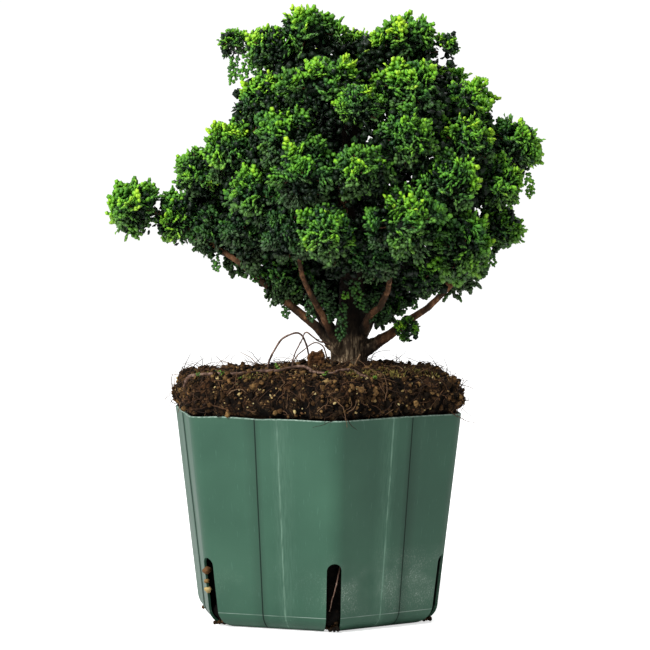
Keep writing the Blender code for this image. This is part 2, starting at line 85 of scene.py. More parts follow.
def carry(piece, label, numbers):
    """Stores a number for each point of the mesh."""
    layer = piece.data.attributes.new(label, "FLOAT", "POINT")
    layer.data.foreach_set("value", np.asarray(numbers, dtype=np.float32))


def settle(piece, slot, *nodes):
    """The piece rides on the part's one body and takes the place of the nodes."""
    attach(piece, "root")
    if nodes:
        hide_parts(*nodes)
    print(piece.name, len(piece.data.polygons), "faces")


def from_arrays(name, points, triangles, material, **values):
    """A smooth mesh from arrays; each of values gives every point one number."""
    mesh = bpy.data.meshes.new(name)
    mesh.vertices.add(len(points))
    mesh.vertices.foreach_set("co", np.asarray(points, dtype=np.float32).ravel())
    mesh.loops.add(3 * len(triangles))
    mesh.loops.foreach_set("vertex_index", np.asarray(triangles, dtype=np.int32).ravel())
    mesh.polygons.add(len(triangles))
    mesh.polygons.foreach_set("loop_start", np.arange(0, 3 * len(triangles), 3, dtype=np.int32))
    mesh.update(calc_edges=True)
    mesh.shade_smooth()
    mesh.materials.append(material)
    piece = new_object(name, mesh)
    for label, numbers in values.items():
        carry(piece, label, numbers)
    return piece


def points_of(obj):
    """The points of an object's mesh, as an array."""
    found = np.empty(3 * len(obj.data.vertices), dtype=np.float32)
    obj.data.vertices.foreach_get("co", found)
    return found.reshape(-1, 3).astype(float)


def repeated(triangles, size, count):
    """The triangles of so many copies of a shape that has size points."""
    return (triangles[None] + size * np.arange(count)[:, None, None]).reshape(-1, 3)


def unit(vectors):
    """The same directions, each one long."""
    return vectors / np.linalg.norm(vectors, axis=-1, keepdims=True)


def smoothstep(low, high, value):
    """Rises softly from 0 at low to 1 at high."""
    share = np.clip((value - low) / (high - low), 0, 1)
    return share * share * (3 - 2 * share)


# %% Thin tubes
ASIDE = (0.37, 0.21, 0.9)  # a direction that no tube follows


def tubes(routes, radii, sides):
    """Points and triangles of thin tubes along equally long routes (n, steps, 3)."""
    count, steps = routes.shape[:2]
    ahead = unit(np.gradient(routes, axis=1))
    across = unit(np.cross(ahead, ASIDE))
    up = np.cross(ahead, across)
    turns = 2 * np.pi * np.arange(sides) / sides
    ring = across[:, :, None] * np.cos(turns)[:, None]
    ring = ring + up[:, :, None] * np.sin(turns)[:, None]
    points = routes[:, :, None] + ring * radii[:, :, None, None]
    base = []
    for step in range(steps - 1):
        for side in range(sides):
            a, b = step * sides + side, step * sides + (side + 1) % sides
            base += [(a, b, b + sides), (a, b + sides, a + sides)]
    for side in range(1, sides - 1):
        base.append((0, side + 1, side))
        last = (steps - 1) * sides
        base.append((last, last + side, last + side + 1))
    return points.reshape(-1, 3), repeated(np.array(base), steps * sides, count)


def curved(points, count):
    """Points evenly along a smooth curve through the given ones."""
    points = np.asarray(points, dtype=float)
    padded = np.vstack([2 * points[0] - points[1], points, 2 * points[-1] - points[-2]])
    just_less = 1e-9  # keeps the last step inside the last stretch
    route = []
    for step in np.linspace(0, len(points) - 1 - just_less, count):
        i, t = int(step), step % 1
        a, b, c, d = padded[i:i + 4]
        bend = (2 * a - 5 * b + 4 * c - d) * t**2
        twist = (3 * b - a - 3 * c + d) * t**3
        route.append(0.5 * (2 * b + (c - a) * t + bend + twist))
    return np.array(route)


# %% [markdown]
# ## Node helpers
#
# A finish is a tree of shader nodes. These helpers add a node and fill its sockets in one line,
# so that each material below reads as a short recipe.

# %% Materials in few lines
def new_material(name, roughness, **constants):
    """A material with its Principled shader; constants are set on the shader's own sockets."""
    material = bpy.data.materials.new(name)
    material.use_nodes = True
    shader = material.node_tree.nodes["Principled BSDF"]
    shader.inputs["Roughness"].default_value = roughness
    for label, value in constants.items():
        shader.inputs[label.replace("_", " ")].default_value = value
    return material, material.node_tree, shader


def add(tree, kind, settings=None, **inputs):
    """Adds a node, sets its properties, and fills or links its inputs by name."""
    node = tree.nodes.new("ShaderNode" + kind)
    for label, value in (settings or {}).items():
        setattr(node, label, value)
    for label, value in inputs.items():
        socket = node.inputs[label.replace("_", " ")]
        if isinstance(value, bpy.types.NodeSocket):
            tree.links.new(value, socket)
        else:
            socket.default_value = value
    return node


MIX_FACTOR, MIX_FIRST, MIX_SECOND, MIX_RESULT = 0, 6, 7, 2  # the node's sockets for colours


def mix(tree, factor, first, second, blend="MIX"):
    """Mixes two colours, each an RGB triple or a socket."""
    node = tree.nodes.new("ShaderNodeMix")
    node.data_type = "RGBA"
    node.blend_type = blend
    for index, value in ((MIX_FACTOR, factor), (MIX_FIRST, first), (MIX_SECOND, second)):
        socket = node.inputs[index]
        if isinstance(value, bpy.types.NodeSocket):
            tree.links.new(value, socket)
        else:
            socket.default_value = value if index == MIX_FACTOR else (*value, 1)
    return node.outputs[MIX_RESULT]


def times(tree, first, second):
    """Multiplies two masks or colours."""
    return mix(tree, 1.0, first, second, "MULTIPLY")


def ramp(tree, factor, *stops):
    """A colour ramp through (place, colour) stops; a colour may be one grey number."""
    node = tree.nodes.new("ShaderNodeValToRGB")
    elements = node.color_ramp.elements
    while len(elements) < len(stops):
        elements.new(0.5)
    for element, (place, colour) in zip(elements, stops):
        element.position = place
        element.color = (*colour, 1) if isinstance(colour, tuple) else (colour,) * 3 + (1,)
    tree.links.new(factor, node.inputs["Fac"])
    return node.outputs["Color"]


def at(tree, scale=(1, 1, 1)):
    """Object coordinates, stretched by scale."""
    place = add(tree, "TexCoord").outputs["Object"]
    return add(tree, "Mapping", Vector=place, Scale=scale).outputs["Vector"]


def value_of(tree, label):
    """The number that the mesh carries under this label."""
    return add(tree, "Attribute", {"attribute_name": label}).outputs["Fac"]


def noise_in(tree, scale, detail, stretch=(1, 1, 1), **more):
    """A noise of so many waves a metre, and stretched, on object coordinates."""
    place = at(tree, stretch)
    node = add(tree, "TexNoise", Vector=place, Scale=scale, Detail=detail, **more)
    return node.outputs["Fac"]


def span(tree, value, low, high, at_low=0.0, at_high=1.0):
    """Turns the numbers from low to high into those from at_low to at_high."""
    node = add(tree, "MapRange", Value=value, From_Min=low, From_Max=high)
    for label, limit in (("To Min", at_low), ("To Max", at_high)):
        if isinstance(limit, bpy.types.NodeSocket):
            tree.links.new(limit, node.inputs[label])
        else:
            node.inputs[label].default_value = limit
    return node.outputs["Result"]


def bump(tree, shader, height, strength, distance):
    """Lets a height tilt the surface under the light."""
    node = add(tree, "Bump", Strength=strength, Distance=distance, Height=height)
    tree.links.new(node.outputs["Normal"], shader.inputs["Normal"])


# %% [markdown]
# ## Two shared effects
#
# Crumbs, grit, moss, small leaves and fine roots are all speckled, each at its own scale, and
# all bark and bare roots have a grain. Such an effect is built once, as a node group with named
# sockets, and each material places it with its own values.

# %% Build the node groups
def new_group(name, inputs, outputs):
    """A node group with these sockets, its group input's outputs and its group output's inputs."""
    group = bpy.data.node_groups.new(name, "ShaderNodeTree")
    for side, sockets in (("INPUT", inputs), ("OUTPUT", outputs)):
        for label, kind in sockets:
            group.interface.new_socket(label, in_out=side, socket_type="NodeSocket" + kind)
    given = group.nodes.new("NodeGroupInput").outputs
    result = group.nodes.new("NodeGroupOutput").inputs
    return group, given, result


SPECKLE, given, result = new_group(
    "speckle",
    [("Colour", "Color"), ("Dark", "Color"), ("Scale", "Float"), ("Detail", "Float"),
     ("Low", "Float"), ("High", "Float"), ("Amount", "Float")],
    [("Colour", "Color"), ("Height", "Float")],
)
height = noise_in(SPECKLE, given["Scale"], given["Detail"])
share = span(SPECKLE, height, given["Low"], given["High"], given["Amount"], 0.0)
SPECKLE.links.new(mix(SPECKLE, share, given["Colour"], given["Dark"]), result["Colour"])
SPECKLE.links.new(height, result["Height"])

GRAIN, given, result = new_group(
    "bark_grain",
    [("Across", "Float"), ("Along", "Float"), ("Detail", "Float"), ("Roughness", "Float")],
    [("Height", "Float")],
)
waves = add(GRAIN, "CombineXYZ", X=given["Across"], Y=given["Across"], Z=given["Along"])
height = noise_in(
    GRAIN, 1.0, given["Detail"], waves.outputs["Vector"], Roughness=given["Roughness"]
)
GRAIN.links.new(height, result["Height"])
print("node groups:", ", ".join(group.name for group in (SPECKLE, GRAIN)))


# %% Place the groups
def speckled(tree, shader, colour, dark, grain, specks, relief):
    """Gives a shader a colour with dark specks, and their relief.

    grain is the noise's scale and detail. specks are the values of the noise between which
    the specks fade, and how dark they are. relief is the strength and distance of the bump.
    """
    node = add(
        tree, "Group", {"node_tree": SPECKLE}, Colour=colour, Dark=(*dark, 1),
        Scale=grain[0], Detail=grain[1], Low=specks[0], High=specks[1], Amount=specks[2],
    )
    tree.links.new(node.outputs["Colour"], shader.inputs["Base Color"])
    bump(tree, shader, node.outputs["Height"], *relief)


def bark_grain(tree, across, along, detail, roughness=0.5):
    """The grain's height, with so many waves a metre across the piece and up it."""
    node = add(
        tree, "Group", {"node_tree": GRAIN},
        Across=across, Along=along, Detail=detail, Roughness=roughness,
    )
    return node.outputs["Height"]


# %% [markdown]
# ## The camera
#
# The pot is the one piece of known shape in the photograph. Its six-sided outline fixes where
# the camera stood: far off, a little above the middle of the crown, looking slightly down
# through a long lens.

# %% Camera
CAMERA_PLACE = Vector((4.6, -1760, 245.6)) * MM
CAMERA_DOWN_DEG = 3.02
CAMERA_LENS_MM = 187.1

camera_data = bpy.data.cameras.new("photo_camera")
camera_data.lens = CAMERA_LENS_MM
camera_data.sensor_width = 36
camera = new_object("photo_camera", camera_data)
camera.location = CAMERA_PLACE
camera.rotation_euler = (math.radians(90 - CAMERA_DOWN_DEG), 0, 0)
bpy.context.scene.camera = camera
print("camera at", tuple(camera.location))

# %% [markdown]
# ## Floor and light
#
# The photograph is a cut-out on white under a soft studio light that comes from above and a
# little from the front left. A wide white floor and a white world give the same ground, one
# lamp on the left is the key, and a weak one behind lifts the tips. The white that the camera
# sees is brighter than the white that lights the tree, as on a page.

# %% Floor
FLOOR_SIZE = 30.0

bpy.ops.mesh.primitive_plane_add(size=FLOOR_SIZE, location=(0, 0, 0))
floor = bpy.context.active_object
floor.name = "studio_floor"
paint, tree, shader = new_material(
    "studio_white", 0.8, Specular_IOR_Level=0.1, Emission_Strength=0.62
)
tone = ramp(tree, noise_in(tree, 2, 2), (0.3, 0.84), (0.7, 0.88))
tree.links.new(tone, shader.inputs["Base Color"])
seen = add(tree, "LightPath").outputs["Is Camera Ray"]
tree.links.new(ramp(tree, seen, (0.0, 0.0), (1.0, 1.0)), shader.inputs["Emission Color"])
floor.data.materials.append(paint)

# %% Light
SEEN_WHITE = 1.05
AMBIENT = 0.48
LAMPS_AIM = (0, 0, 0.18)
LAMPS = {  # place, size in metres and watts
    "key": ((-1.4, -1.45, 1.8), 0.9, 96),
    "rear": ((0.6, 1.3, 1.7), 0.8, 12),
}


def aim_lamp(name, place, size, watts):
    """A square lamp that looks at the middle of the tree."""
    data = bpy.data.lights.new(name, "AREA")
    data.size = size
    data.energy = watts
    lamp = new_object(name, data)
    lamp.location = place
    towards = Vector(LAMPS_AIM) - Vector(place)
    lamp.rotation_euler = towards.to_track_quat("-Z", "Y").to_euler()


for lamp_name, (place, size, watts) in LAMPS.items():
    aim_lamp(lamp_name, place, size, watts)
world = bpy.data.worlds.new("studio")
world.use_nodes = True
sky = world.node_tree.nodes["Background"]
sky.inputs["Color"].default_value = (1, 1, 1, 1)
seen = add(world.node_tree, "LightPath").outputs["Is Camera Ray"]
strength = span(world.node_tree, seen, 0, 1, AMBIENT, SEEN_WHITE)
world.node_tree.links.new(strength, sky.inputs["Strength"])
bpy.context.scene.world = world
bpy.context.scene.view_settings.view_transform = "Standard"
print("lamps:", ", ".join(LAMPS))

# %% [markdown]
# ## The pot
#
# The real pot is one thin shell of moulded green plastic: a tapered hexagon with soft corners,
# a shallow raised band down the middle of each side, and a slit up each corner. It is lofted
# from rings of points, because no primitive has this outline. Many points in each corner make
# it look round, and a cutter with a round top opens each slit.

# %% Pot outline
POT_HEIGHT = 109 * MM
POT_MOUTH_CORNER = 81.5 * MM
POT_FOOT_CORNER = 67.5 * MM
POT_WALL = 1.3 * MM
POT_FLOOR_ROUND = 9 * MM
POT_CORNER_ROUND = 10 * MM
POT_FRONT_CORNER_DEG = 7.7
BAND_WIDTH = 11.2 * MM
BAND_SHIFT = 1.5 * MM  # the band sits a little off the middle of its side
BAND_STEP = 0.4 * MM
BAND_RAMP = 1.1 * MM  # the width over which the band rises
CORNER_STEPS = 10
HALF_CORNER = math.radians(30)  # from a side's middle to its corner, seen from the axis
HEX_SHARE = math.cos(HALF_CORNER)


def corner_angle(side):
    """Where each of the six corners stands, as an angle round the axis."""
    return math.radians(POT_FRONT_CORNER_DEG - 90 + 60 * side)


def heading(angle):
    """The level direction at this angle."""
    return Vector((math.cos(angle), math.sin(angle), 0))


def smooth_hexagon(corner, corner_round, z, band_step):
    """One ring of the pot: corners in arcs, and sides in short steps with a band in the middle."""
    apothem = corner * HEX_SHARE
    half_side = (apothem - corner_round) * math.tan(HALF_CORNER)
    half = BAND_WIDTH / 2
    ring = []
    for side in range(6):
        angle = corner_angle(side)
        centre = heading(angle) * (apothem - corner_round) / HEX_SHARE
        for step in range(CORNER_STEPS + 1):
            turn = (2 * step / CORNER_STEPS - 1) * HALF_CORNER
            ring.append(centre + heading(angle + turn) * corner_round)
        outward = heading(angle + HALF_CORNER)
        along = heading(angle + HALF_CORNER + math.pi / 2)
        spread = half_side - half - BAND_RAMP
        edges = [-half - BAND_RAMP - spread * share for share in (0.66, 0.33)]
        edges += [-half - BAND_RAMP, -half - 0.5 * BAND_RAMP, -half, -half * 0.33]
        for offset in edges + [-edge for edge in reversed(edges)]:
            lift = band_step * smoothstep(half + BAND_RAMP, half, abs(offset))
            ring.append(outward * (apothem + lift) + along * (offset + BAND_SHIFT))
    return [p + Vector((0, 0, z)) for p in ring]


# %% Rings of the wall
FOOT_STEPS = 8
WALL_STEPS = 12
SMALLEST_ROUND = 3 * MM


def pot_corner_at(z):
    """How far out the sharp corner of the taper is at this height."""
    return POT_FOOT_CORNER + (POT_MOUTH_CORNER - POT_FOOT_CORNER) * z / POT_HEIGHT


def wall_rings(inset, round_radius, floor_z, band_step, rim_round):
    """Rings from the underside, round the foot, up the wall and over the edge of the rim."""
    rings = []
    for step in range(FOOT_STEPS + 1):
        rise = math.pi / 2 * step / FOOT_STEPS
        z = floor_z + round_radius * (1 - math.cos(rise))
        pull = round_radius * (1 - math.sin(rise))
        corner = pot_corner_at(z) - (inset + pull) / HEX_SHARE
        corner_round = max(POT_CORNER_ROUND - inset - pull, SMALLEST_ROUND)
        rings.append(smooth_hexagon(corner, corner_round, z, band_step * math.sin(rise)))
    lowest, highest = POT_FLOOR_ROUND + 8 * MM, POT_HEIGHT - 2.2 * rim_round
    for z in [*np.linspace(lowest, highest, WALL_STEPS), POT_HEIGHT - rim_round]:
        corner = pot_corner_at(z) - inset / HEX_SHARE
        rings.append(smooth_hexagon(corner, POT_CORNER_ROUND - inset, float(z), band_step))
    return rings


# %% Loft the shell
def loft(name, rings):
    """A closed body through the rings, with a middle point in each end."""
    count = len(rings[0])
    points = [p for ring in rings for p in ring]
    faces = []
    for low in range(len(rings) - 1):
        for i in range(count):
            a, b = low * count + i, low * count + (i + 1) % count
            faces.append((a, b, b + count, a + count))
    last = (len(rings) - 1) * count
    for ring, first, turned in ((rings[0], 0, True), (rings[-1], last, False)):
        points.append(sum(ring, Vector()) / count)
        middle = len(points) - 1
        for i in range(count):
            a, b = first + i, first + (i + 1) % count
            faces.append((middle, b, a) if turned else (middle, a, b))
    mesh = bpy.data.meshes.new(name)
    mesh.from_pydata(points, [], faces)
    return new_object(name, mesh)


RIM_ROUND = 0.35 * MM
outer = wall_rings(0, POT_FLOOR_ROUND, 0, BAND_STEP, RIM_ROUND)
inner = wall_rings(POT_WALL, POT_FLOOR_ROUND - POT_WALL, POT_WALL, 0, RIM_ROUND)
lip = []
for inset, drop, step in ((0.3 * POT_WALL, 0, 0.5 * BAND_STEP), (0.7 * POT_WALL, 0, 0)):
    corner = POT_MOUTH_CORNER - inset / HEX_SHARE
    lip.append(smooth_hexagon(corner, POT_CORNER_ROUND - inset, POT_HEIGHT - drop, step))
shell = loft("pot_shell", outer + lip + inner[::-1])
print("pot shell faces:", len(shell.data.polygons))

# %% Cut the slits
SLIT_WIDTH = 7.6 * MM
SLIT_TOP = 36 * MM
SLIT_INNER_END = 49 * MM
CUTTER_SPARE = 5 * MM  # how far the cutter stands out of the pot
CUTTER_ARC_STEPS = 16


def slit_cutter(side):
    """An upright slot with a round top, through one corner and into the floor."""
    radius = SLIT_WIDTH / 2
    outline = [(-radius, -CUTTER_SPARE), (radius, -CUTTER_SPARE)]
    for step in range(CUTTER_ARC_STEPS + 1):
        angle = math.pi * step / CUTTER_ARC_STEPS
        outline.append((radius * math.cos(angle), SLIT_TOP - radius + radius * math.sin(angle)))
    outward = heading(corner_angle(side))
    across = Vector((-outward.y, outward.x, 0))
    rings = []
    for end in (SLIT_INNER_END, POT_MOUTH_CORNER + CUTTER_SPARE):
        rings.append([outward * end + across * u + Vector((0, 0, v)) for u, v in outline])
    return loft("slit", rings)


for side in range(6):
    cutter = slit_cutter(side)
    cut = shell.modifiers.new("slit", "BOOLEAN")
    cut.operation = "DIFFERENCE"
    cut.object = cutter
    pick_only(shell)
    bpy.ops.object.modifier_apply(modifier=cut.name)
    bpy.data.objects.remove(cutter)
print("pot faces after the slits:", len(shell.data.polygons))

# %% [markdown]
# Thin plastic is never quite flat, and the rim was trimmed by hand: it waves up and down by
# part of a millimetre and has small nicks. Both are moves of the points by smooth noise.

# %% Make it a little uneven
RIM_WAVE = 0.7 * MM
LONG_WAVE, SHORT_WAVE = 22 * MM, 5 * MM
WAVY_ABOVE = 0.9  # in shares of the height
WALL_DRIFT, WALL_DRIFT_LENGTH = 0.12 * MM, 30 * MM

rim_edge = POT_HEIGHT - 1.2 * RIM_ROUND
carry(shell, "rim", [float(vert.co.z > rim_edge) for vert in shell.data.vertices])
for vert in shell.data.vertices:
    spot = vert.co
    height = spot.z / POT_HEIGHT
    if height > WAVY_ABOVE:
        share = (height - WAVY_ABOVE) / (1 - WAVY_ABOVE)
        wave = noise.noise(Vector((spot.x, spot.y, 0)) / LONG_WAVE)
        wave += 0.5 * noise.noise(Vector((spot.x, spot.y, 3)) / SHORT_WAVE)
        vert.co.z += RIM_WAVE * wave * share
    out = Vector((spot.x, spot.y, 0)).normalized()
    drift = WALL_DRIFT * noise.noise(spot / WALL_DRIFT_LENGTH)
    vert.co += out * drift * min(1, height * 5)
pick_only(shell)
bpy.ops.object.shade_smooth_by_angle(angle=math.radians(32))

# %% [markdown]
# Each side shows two lines where the band begins and ends: painted shadow at one edge and a
# painted highlight, broken by scratches, at the other, which change places from one side to the
# next as the light falls. The top edge of the rim is a painted highlight as well. The mesh
# carries these marks as numbers, for the plastic to read.

# %% Mark the lines and the rim
MARK_HALF_WIDTH = 0.7 * MM


def line_at(place, offset):
    """How much of the line at place a point at this offset carries."""
    return max(0.0, 1 - abs(offset - place) / MARK_HALF_WIDTH)


def band_marks(spot):
    """How much painted shadow and painted highlight of the band's edges a point carries."""
    for side in range(6):
        outward = heading(corner_angle(side) + HALF_CORNER)
        along = heading(corner_angle(side) + HALF_CORNER + math.pi / 2)
        if abs(spot.dot(along)) < spot.dot(outward) * math.tan(HALF_CORNER):
            offset = (spot.dot(along) - BAND_SHIFT) * (1 if side % 2 == 0 else -1)
            edge = BAND_WIDTH / 2 + BAND_RAMP / 2
            return line_at(edge, offset), line_at(-edge, offset)
    return 0.0, 0.0


marks = [band_marks(vert.co) for vert in shell.data.vertices]
carry(shell, "groove", [groove for groove, _ in marks])
carry(shell, "ridge_highlight", [ridge_highlight for _, ridge_highlight in marks])

# %% [markdown]
# The finish is matt green plastic with a soft sheen. It has fine scratches that run up the
# wall, a slow drift between lighter and darker green, a faint mould line just above the
# floor, and white scuffs and lime low on the side that faces front right.

# %% Pot plastic
plastic, tree, shader = new_material("green_nursery_plastic", 0.5, Specular_IOR_Level=0.25)
place = add(tree, "SeparateXYZ", Vector=add(tree, "TexCoord").outputs["Object"])
drift = noise_in(tree, 22, 4)
streaks = noise_in(tree, 1, 2, (1300, 1300, 7))
grained = noise_in(tree, 700, 3)
patches = noise_in(tree, 55, 3)
green = ramp(tree, drift, (0.3, (0.021, 0.068, 0.042)), (0.7, (0.035, 0.097, 0.061)))
green = mix(tree, ramp(tree, streaks, (0.66, 0.0), (0.76, 0.4)), green, (0.07, 0.15, 0.11))

# %% Scuffs and lime
SCUFFED_FROM, SCUFFED_TO = 6.5 * MM, 43 * MM  # heights
CLEAN_LEFT_OF, SCUFFED_RIGHT_OF = 2 * MM, 14 * MM

low_down = span(tree, place.outputs["Z"], SCUFFED_FROM, SCUFFED_TO)
low_down = ramp(tree, low_down, (0.0, 0.05), (0.3, 0.7), (0.5, 1.0), (0.8, 0.35), (1.0, 0.0))
to_right = span(tree, place.outputs["X"], CLEAN_LEFT_OF, SCUFFED_RIGHT_OF, 0.12)
scuffed = times(tree, low_down, to_right)
wisps = ramp(tree, noise_in(tree, 1300, 5, (1, 1, 0.8), Roughness=0.8), (0.53, 0.0), (0.68, 1.0))
blotch = times(tree, wisps, ramp(tree, patches, (0.4, 0.0), (0.62, 1.0)))
green = mix(tree, times(tree, scuffed, blotch), green, (0.5, 0.56, 0.5))
haze = times(tree, scuffed, ramp(tree, patches, (0.3, 0.0), (0.7, 0.32)))
green = mix(tree, haze, green, (0.2, 0.27, 0.22))

# %% Mould line, painted band edges, painted rim highlight and sheen
SEAM_FROM, SEAM_TO = 6.5 * MM, 9.1 * MM  # heights

seam = span(tree, place.outputs["Z"], SEAM_FROM, SEAM_TO)
seam = ramp(tree, seam, (0.4, 0.0), (0.5, 1.0), (0.6, 0.0))
seam = times(tree, seam, ramp(tree, patches, (0.35, 0.15), (0.6, 0.8)))
green = mix(tree, seam, green, (0.3, 0.38, 0.33))
# Painted highlight along one edge of each band, broken by the scratches.
painted_ridge_highlight = times(tree, value_of(tree, "ridge_highlight"), ramp(tree, streaks, (0.35, 0.25), (0.6, 0.9)))
green = mix(tree, painted_ridge_highlight, green, (0.13, 0.23, 0.17))
# Painted shadow along the other edge of each band.
groove = ramp(tree, value_of(tree, "groove"), (0.05, 0.0), (0.6, 0.95))
green = mix(tree, groove, green, (0.002, 0.008, 0.005))
# Painted highlight: the top edge of the rim is painted pale, broken up by fine noise.
rim_highlight_mask = ramp(tree, value_of(tree, "rim"), (0.2, 0.0), (1.0, 0.8))
rim_highlight = times(tree, rim_highlight_mask, ramp(tree, grained, (0.35, 0.3), (0.6, 1.0)))
green = mix(tree, rim_highlight, green, (0.28, 0.38, 0.32))
tree.links.new(green, shader.inputs["Base Color"])
sheen = mix(tree, groove, ramp(tree, drift, (0.3, 0.42), (0.7, 0.56)), (0.95, 0.95, 0.95))
tree.links.new(sheen, shader.inputs["Roughness"])
bump(tree, shader, grained, 0.10, 0.2 * MM)
shell.data.materials.append(plastic)
settle(shell, "pot_plastic", "pot")

# %% [markdown]
# ## The wood
#
# The trunk and its limbs grew as one piece, so their joints are soft saddles, not creases. A
# voxel remesh of the plain solid melts the tubes into each other, a smoothing pass rounds
# their facets, and noise stretched along the grain raises the bark.

# %% Melt the limbs together
def remeshed(node, name, voxel, smoothing):
    """A finer copy of a solid: merged, remeshed in voxels and smoothed."""
    piece = new_object(name, frame["nodes"][node].data.copy())
    piece.data.materials.clear()
    pick_only(piece)
    bpy.ops.object.mode_set(mode="EDIT")
    bpy.ops.mesh.select_all(action="SELECT")
    bpy.ops.mesh.remove_doubles(threshold=1e-6)
    bpy.ops.object.mode_set(mode="OBJECT")
    melt = piece.modifiers.new("melt", "REMESH")
    melt.mode = "VOXEL"
    melt.voxel_size = voxel
    melt.use_smooth_shade = True
    bpy.ops.object.modifier_apply(modifier=melt.name)
    soften = piece.modifiers.new("soften", "SMOOTH")
    soften.factor = 0.5
    soften.iterations = smoothing
    bpy.ops.object.modifier_apply(modifier=soften.name)
    return piece


def raise_relief(piece, relief):
    """Moves each point along its normal by relief(place)."""
    normals = [normal.vector.copy() for normal in piece.data.vertex_normals]
    for vert, normal in zip(piece.data.vertices, normals):
        vert.co += normal * relief(vert.co)
    piece.data.update()


wood = remeshed("trunk", "bark_covered_wood", 0.95 * MM, 3)
STEM_AXIS = Vector((17, 5, 0)) * MM
STEM_REACH = 16 * MM


def bark_relief(spot):
    """Long flakes on the old stem, and finer grain on the limbs."""
    from_axis = (Vector((spot.x, spot.y, 0)) - STEM_AXIS).length
    height = spot.z / MM
    old = 1 - min(1, max(0, (height - 145) / 30)) if from_axis < STEM_REACH else 0
    flake = noise.noise(Vector((spot.x / 2.4, spot.y / 2.4, spot.z / 9)) / MM)
    grain = noise.noise(Vector((spot.x / 0.9, spot.y / 0.9, spot.z / 3)) / MM)
    return (0.10 + 0.45 * old) * MM * flake + (0.06 + 0.14 * old) * MM * grain


raise_relief(wood, bark_relief)

# %% [markdown]
# The old stem is grey and flaky, while the limbs are red-brown and smooth. Both are painted
# darker, as painted shade, where the crown shades them, just under it, and on the right side of
# the stem, away from the key lamp. The mesh carries the age and the shade of the bark as numbers.

# %% Mark the old and the shaded bark
CROWN_MIDDLE, CROWN_REACH = np.array((16, 18, 224)), np.array((70, 28, 78))  # in mm
UNDER_CROWN = (14.5, 1)  # x and y in mm of the shade on the stem

spots = points_of(wood) / MM
away = np.hypot(spots[:, 0] - STEM_AXIS.x / MM, spots[:, 1] - STEM_AXIS.y / MM)
low_down = 1 - smoothstep(142, 168, spots[:, 2])
carry(wood, "old", low_down * (1 - smoothstep(13, 18, away)))

in_crown = np.linalg.norm((spots - CROWN_MIDDLE) / CROWN_REACH, axis=1)
from_shade = np.linalg.norm(spots[:, :2] - UNDER_CROWN, axis=1)
under_crown = smoothstep(141, 150, spots[:, 2]) * (1 - smoothstep(12, 18, from_shade))
# Painted shade on the right side of the old stem, away from the key lamp.
right_side_shade = 0.6 * smoothstep(14, 28, spots[:, 0]) * low_down * (away < 18)
in_shade = np.maximum(1 - smoothstep(0.85, 1.1, in_crown), under_crown)
carry(wood, "shaded", np.maximum(in_shade, right_side_shade))
print("shaded bark points:", int((in_shade > 0.5).sum()), "of", len(spots))

# %% Bark
bark, tree, shader = new_material("hinoki_bark", 0.85, Specular_IOR_Level=0.15)
grain = bark_grain(tree, 900, 160, 6, 0.65)
flecks = add(tree, "TexVoronoi", Vector=at(tree, (520, 520, 130)), Scale=1.0).outputs["Distance"]
mottle = noise_in(tree, 160, 4)
red_brown = ramp(
    tree, grain,
    (0.3, (0.06, 0.024, 0.011)), (0.5, (0.26, 0.115, 0.052)), (0.7, (0.5, 0.28, 0.15)),
)
grey_brown = ramp(
    tree, grain,
    (0.36, (0.012, 0.008, 0.005)), (0.48, (0.13, 0.088, 0.05)), (0.6, (0.52, 0.39, 0.24)),
)
skin = mix(tree, value_of(tree, "old"), red_brown, grey_brown)
skin = mix(tree, ramp(tree, mottle, (0.44, 0.85), (0.58, 0.0)), skin, (0.028, 0.018, 0.011))
skin = mix(tree, ramp(tree, flecks, (0.0, 0.0), (0.5, 0.5)), skin, (0.02, 0.012, 0.007))
# Painted shade, from the number that the mesh carries.
shade = span(tree, value_of(tree, "shaded"), 0, 1, 0, 0.93)
skin = mix(tree, shade, skin, (0.004, 0.003, 0.002))
tree.links.new(skin, shader.inputs["Base Color"])
bump(tree, shader, grain, 0.7, 0.6 * MM)
wood.data.materials.append(bark)
settle(wood, "bark", "trunk")

# %% [markdown]
# ## One lobe of foliage
#
# Hinoki leaves are tiny scales, pressed flat around each shoot, so that a shoot ends in a
# plump, rounded lobe about two millimetres long. Close up it is a flattened bead with a
# narrow foot. A low dome on a five-sided outline is enough for it, because smooth shading rounds
# it and there will be some eighty thousand of them.

# %% Model the lobe
LOBE_WIDTH = 0.86  # over its length
LOBE_CORNERS = 5
LOBE_TOP = (0.6, 0, 0.26)

bpy.ops.object.select_all(action="DESELECT")
bpy.ops.mesh.primitive_circle_add(vertices=LOBE_CORNERS, radius=0.5, location=(0, 0, 0))
bead = bpy.context.active_object
bpy.ops.object.mode_set(mode="EDIT")
bpy.ops.mesh.select_all(action="SELECT")
bpy.ops.transform.resize(value=(LOBE_WIDTH, 1, 1), center_override=(0, 0, 0))
bpy.ops.object.mode_set(mode="OBJECT")
outline = points_of(bead)[:, (1, 0, 2)] * (-1, 1, 1) + (0.5, 0, 0)  # turned, so a corner is the foot
bpy.data.objects.remove(bead)
LOBE_POINTS = np.vstack([outline, [LOBE_TOP]])
LOBE_SIZE = len(LOBE_POINTS)
dome = [(i, (i + 1) % LOBE_CORNERS, LOBE_CORNERS) for i in range(LOBE_CORNERS)]
underside = [(0, i + 1, i) for i in range(1, LOBE_CORNERS - 1)]
LOBE_TRIANGLES = np.array(dome + underside)
print("lobe:", len(LOBE_POINTS), "points,", len(LOBE_TRIANGLES), "triangles")

# %% [markdown]
# ## A small fan
#
# Shoots branch again and again in one plane and end level with each other, so the spray is a
# flat, slightly cupped fan. Side shoots leave its middle one by turns, left and right, and each
# carries lobes on both sides and one at its end. Each template below is one unit long, with
# its foot at the origin. Six templates with their own small accidents are enough, because
# they are turned, sized and mixed when they are placed.

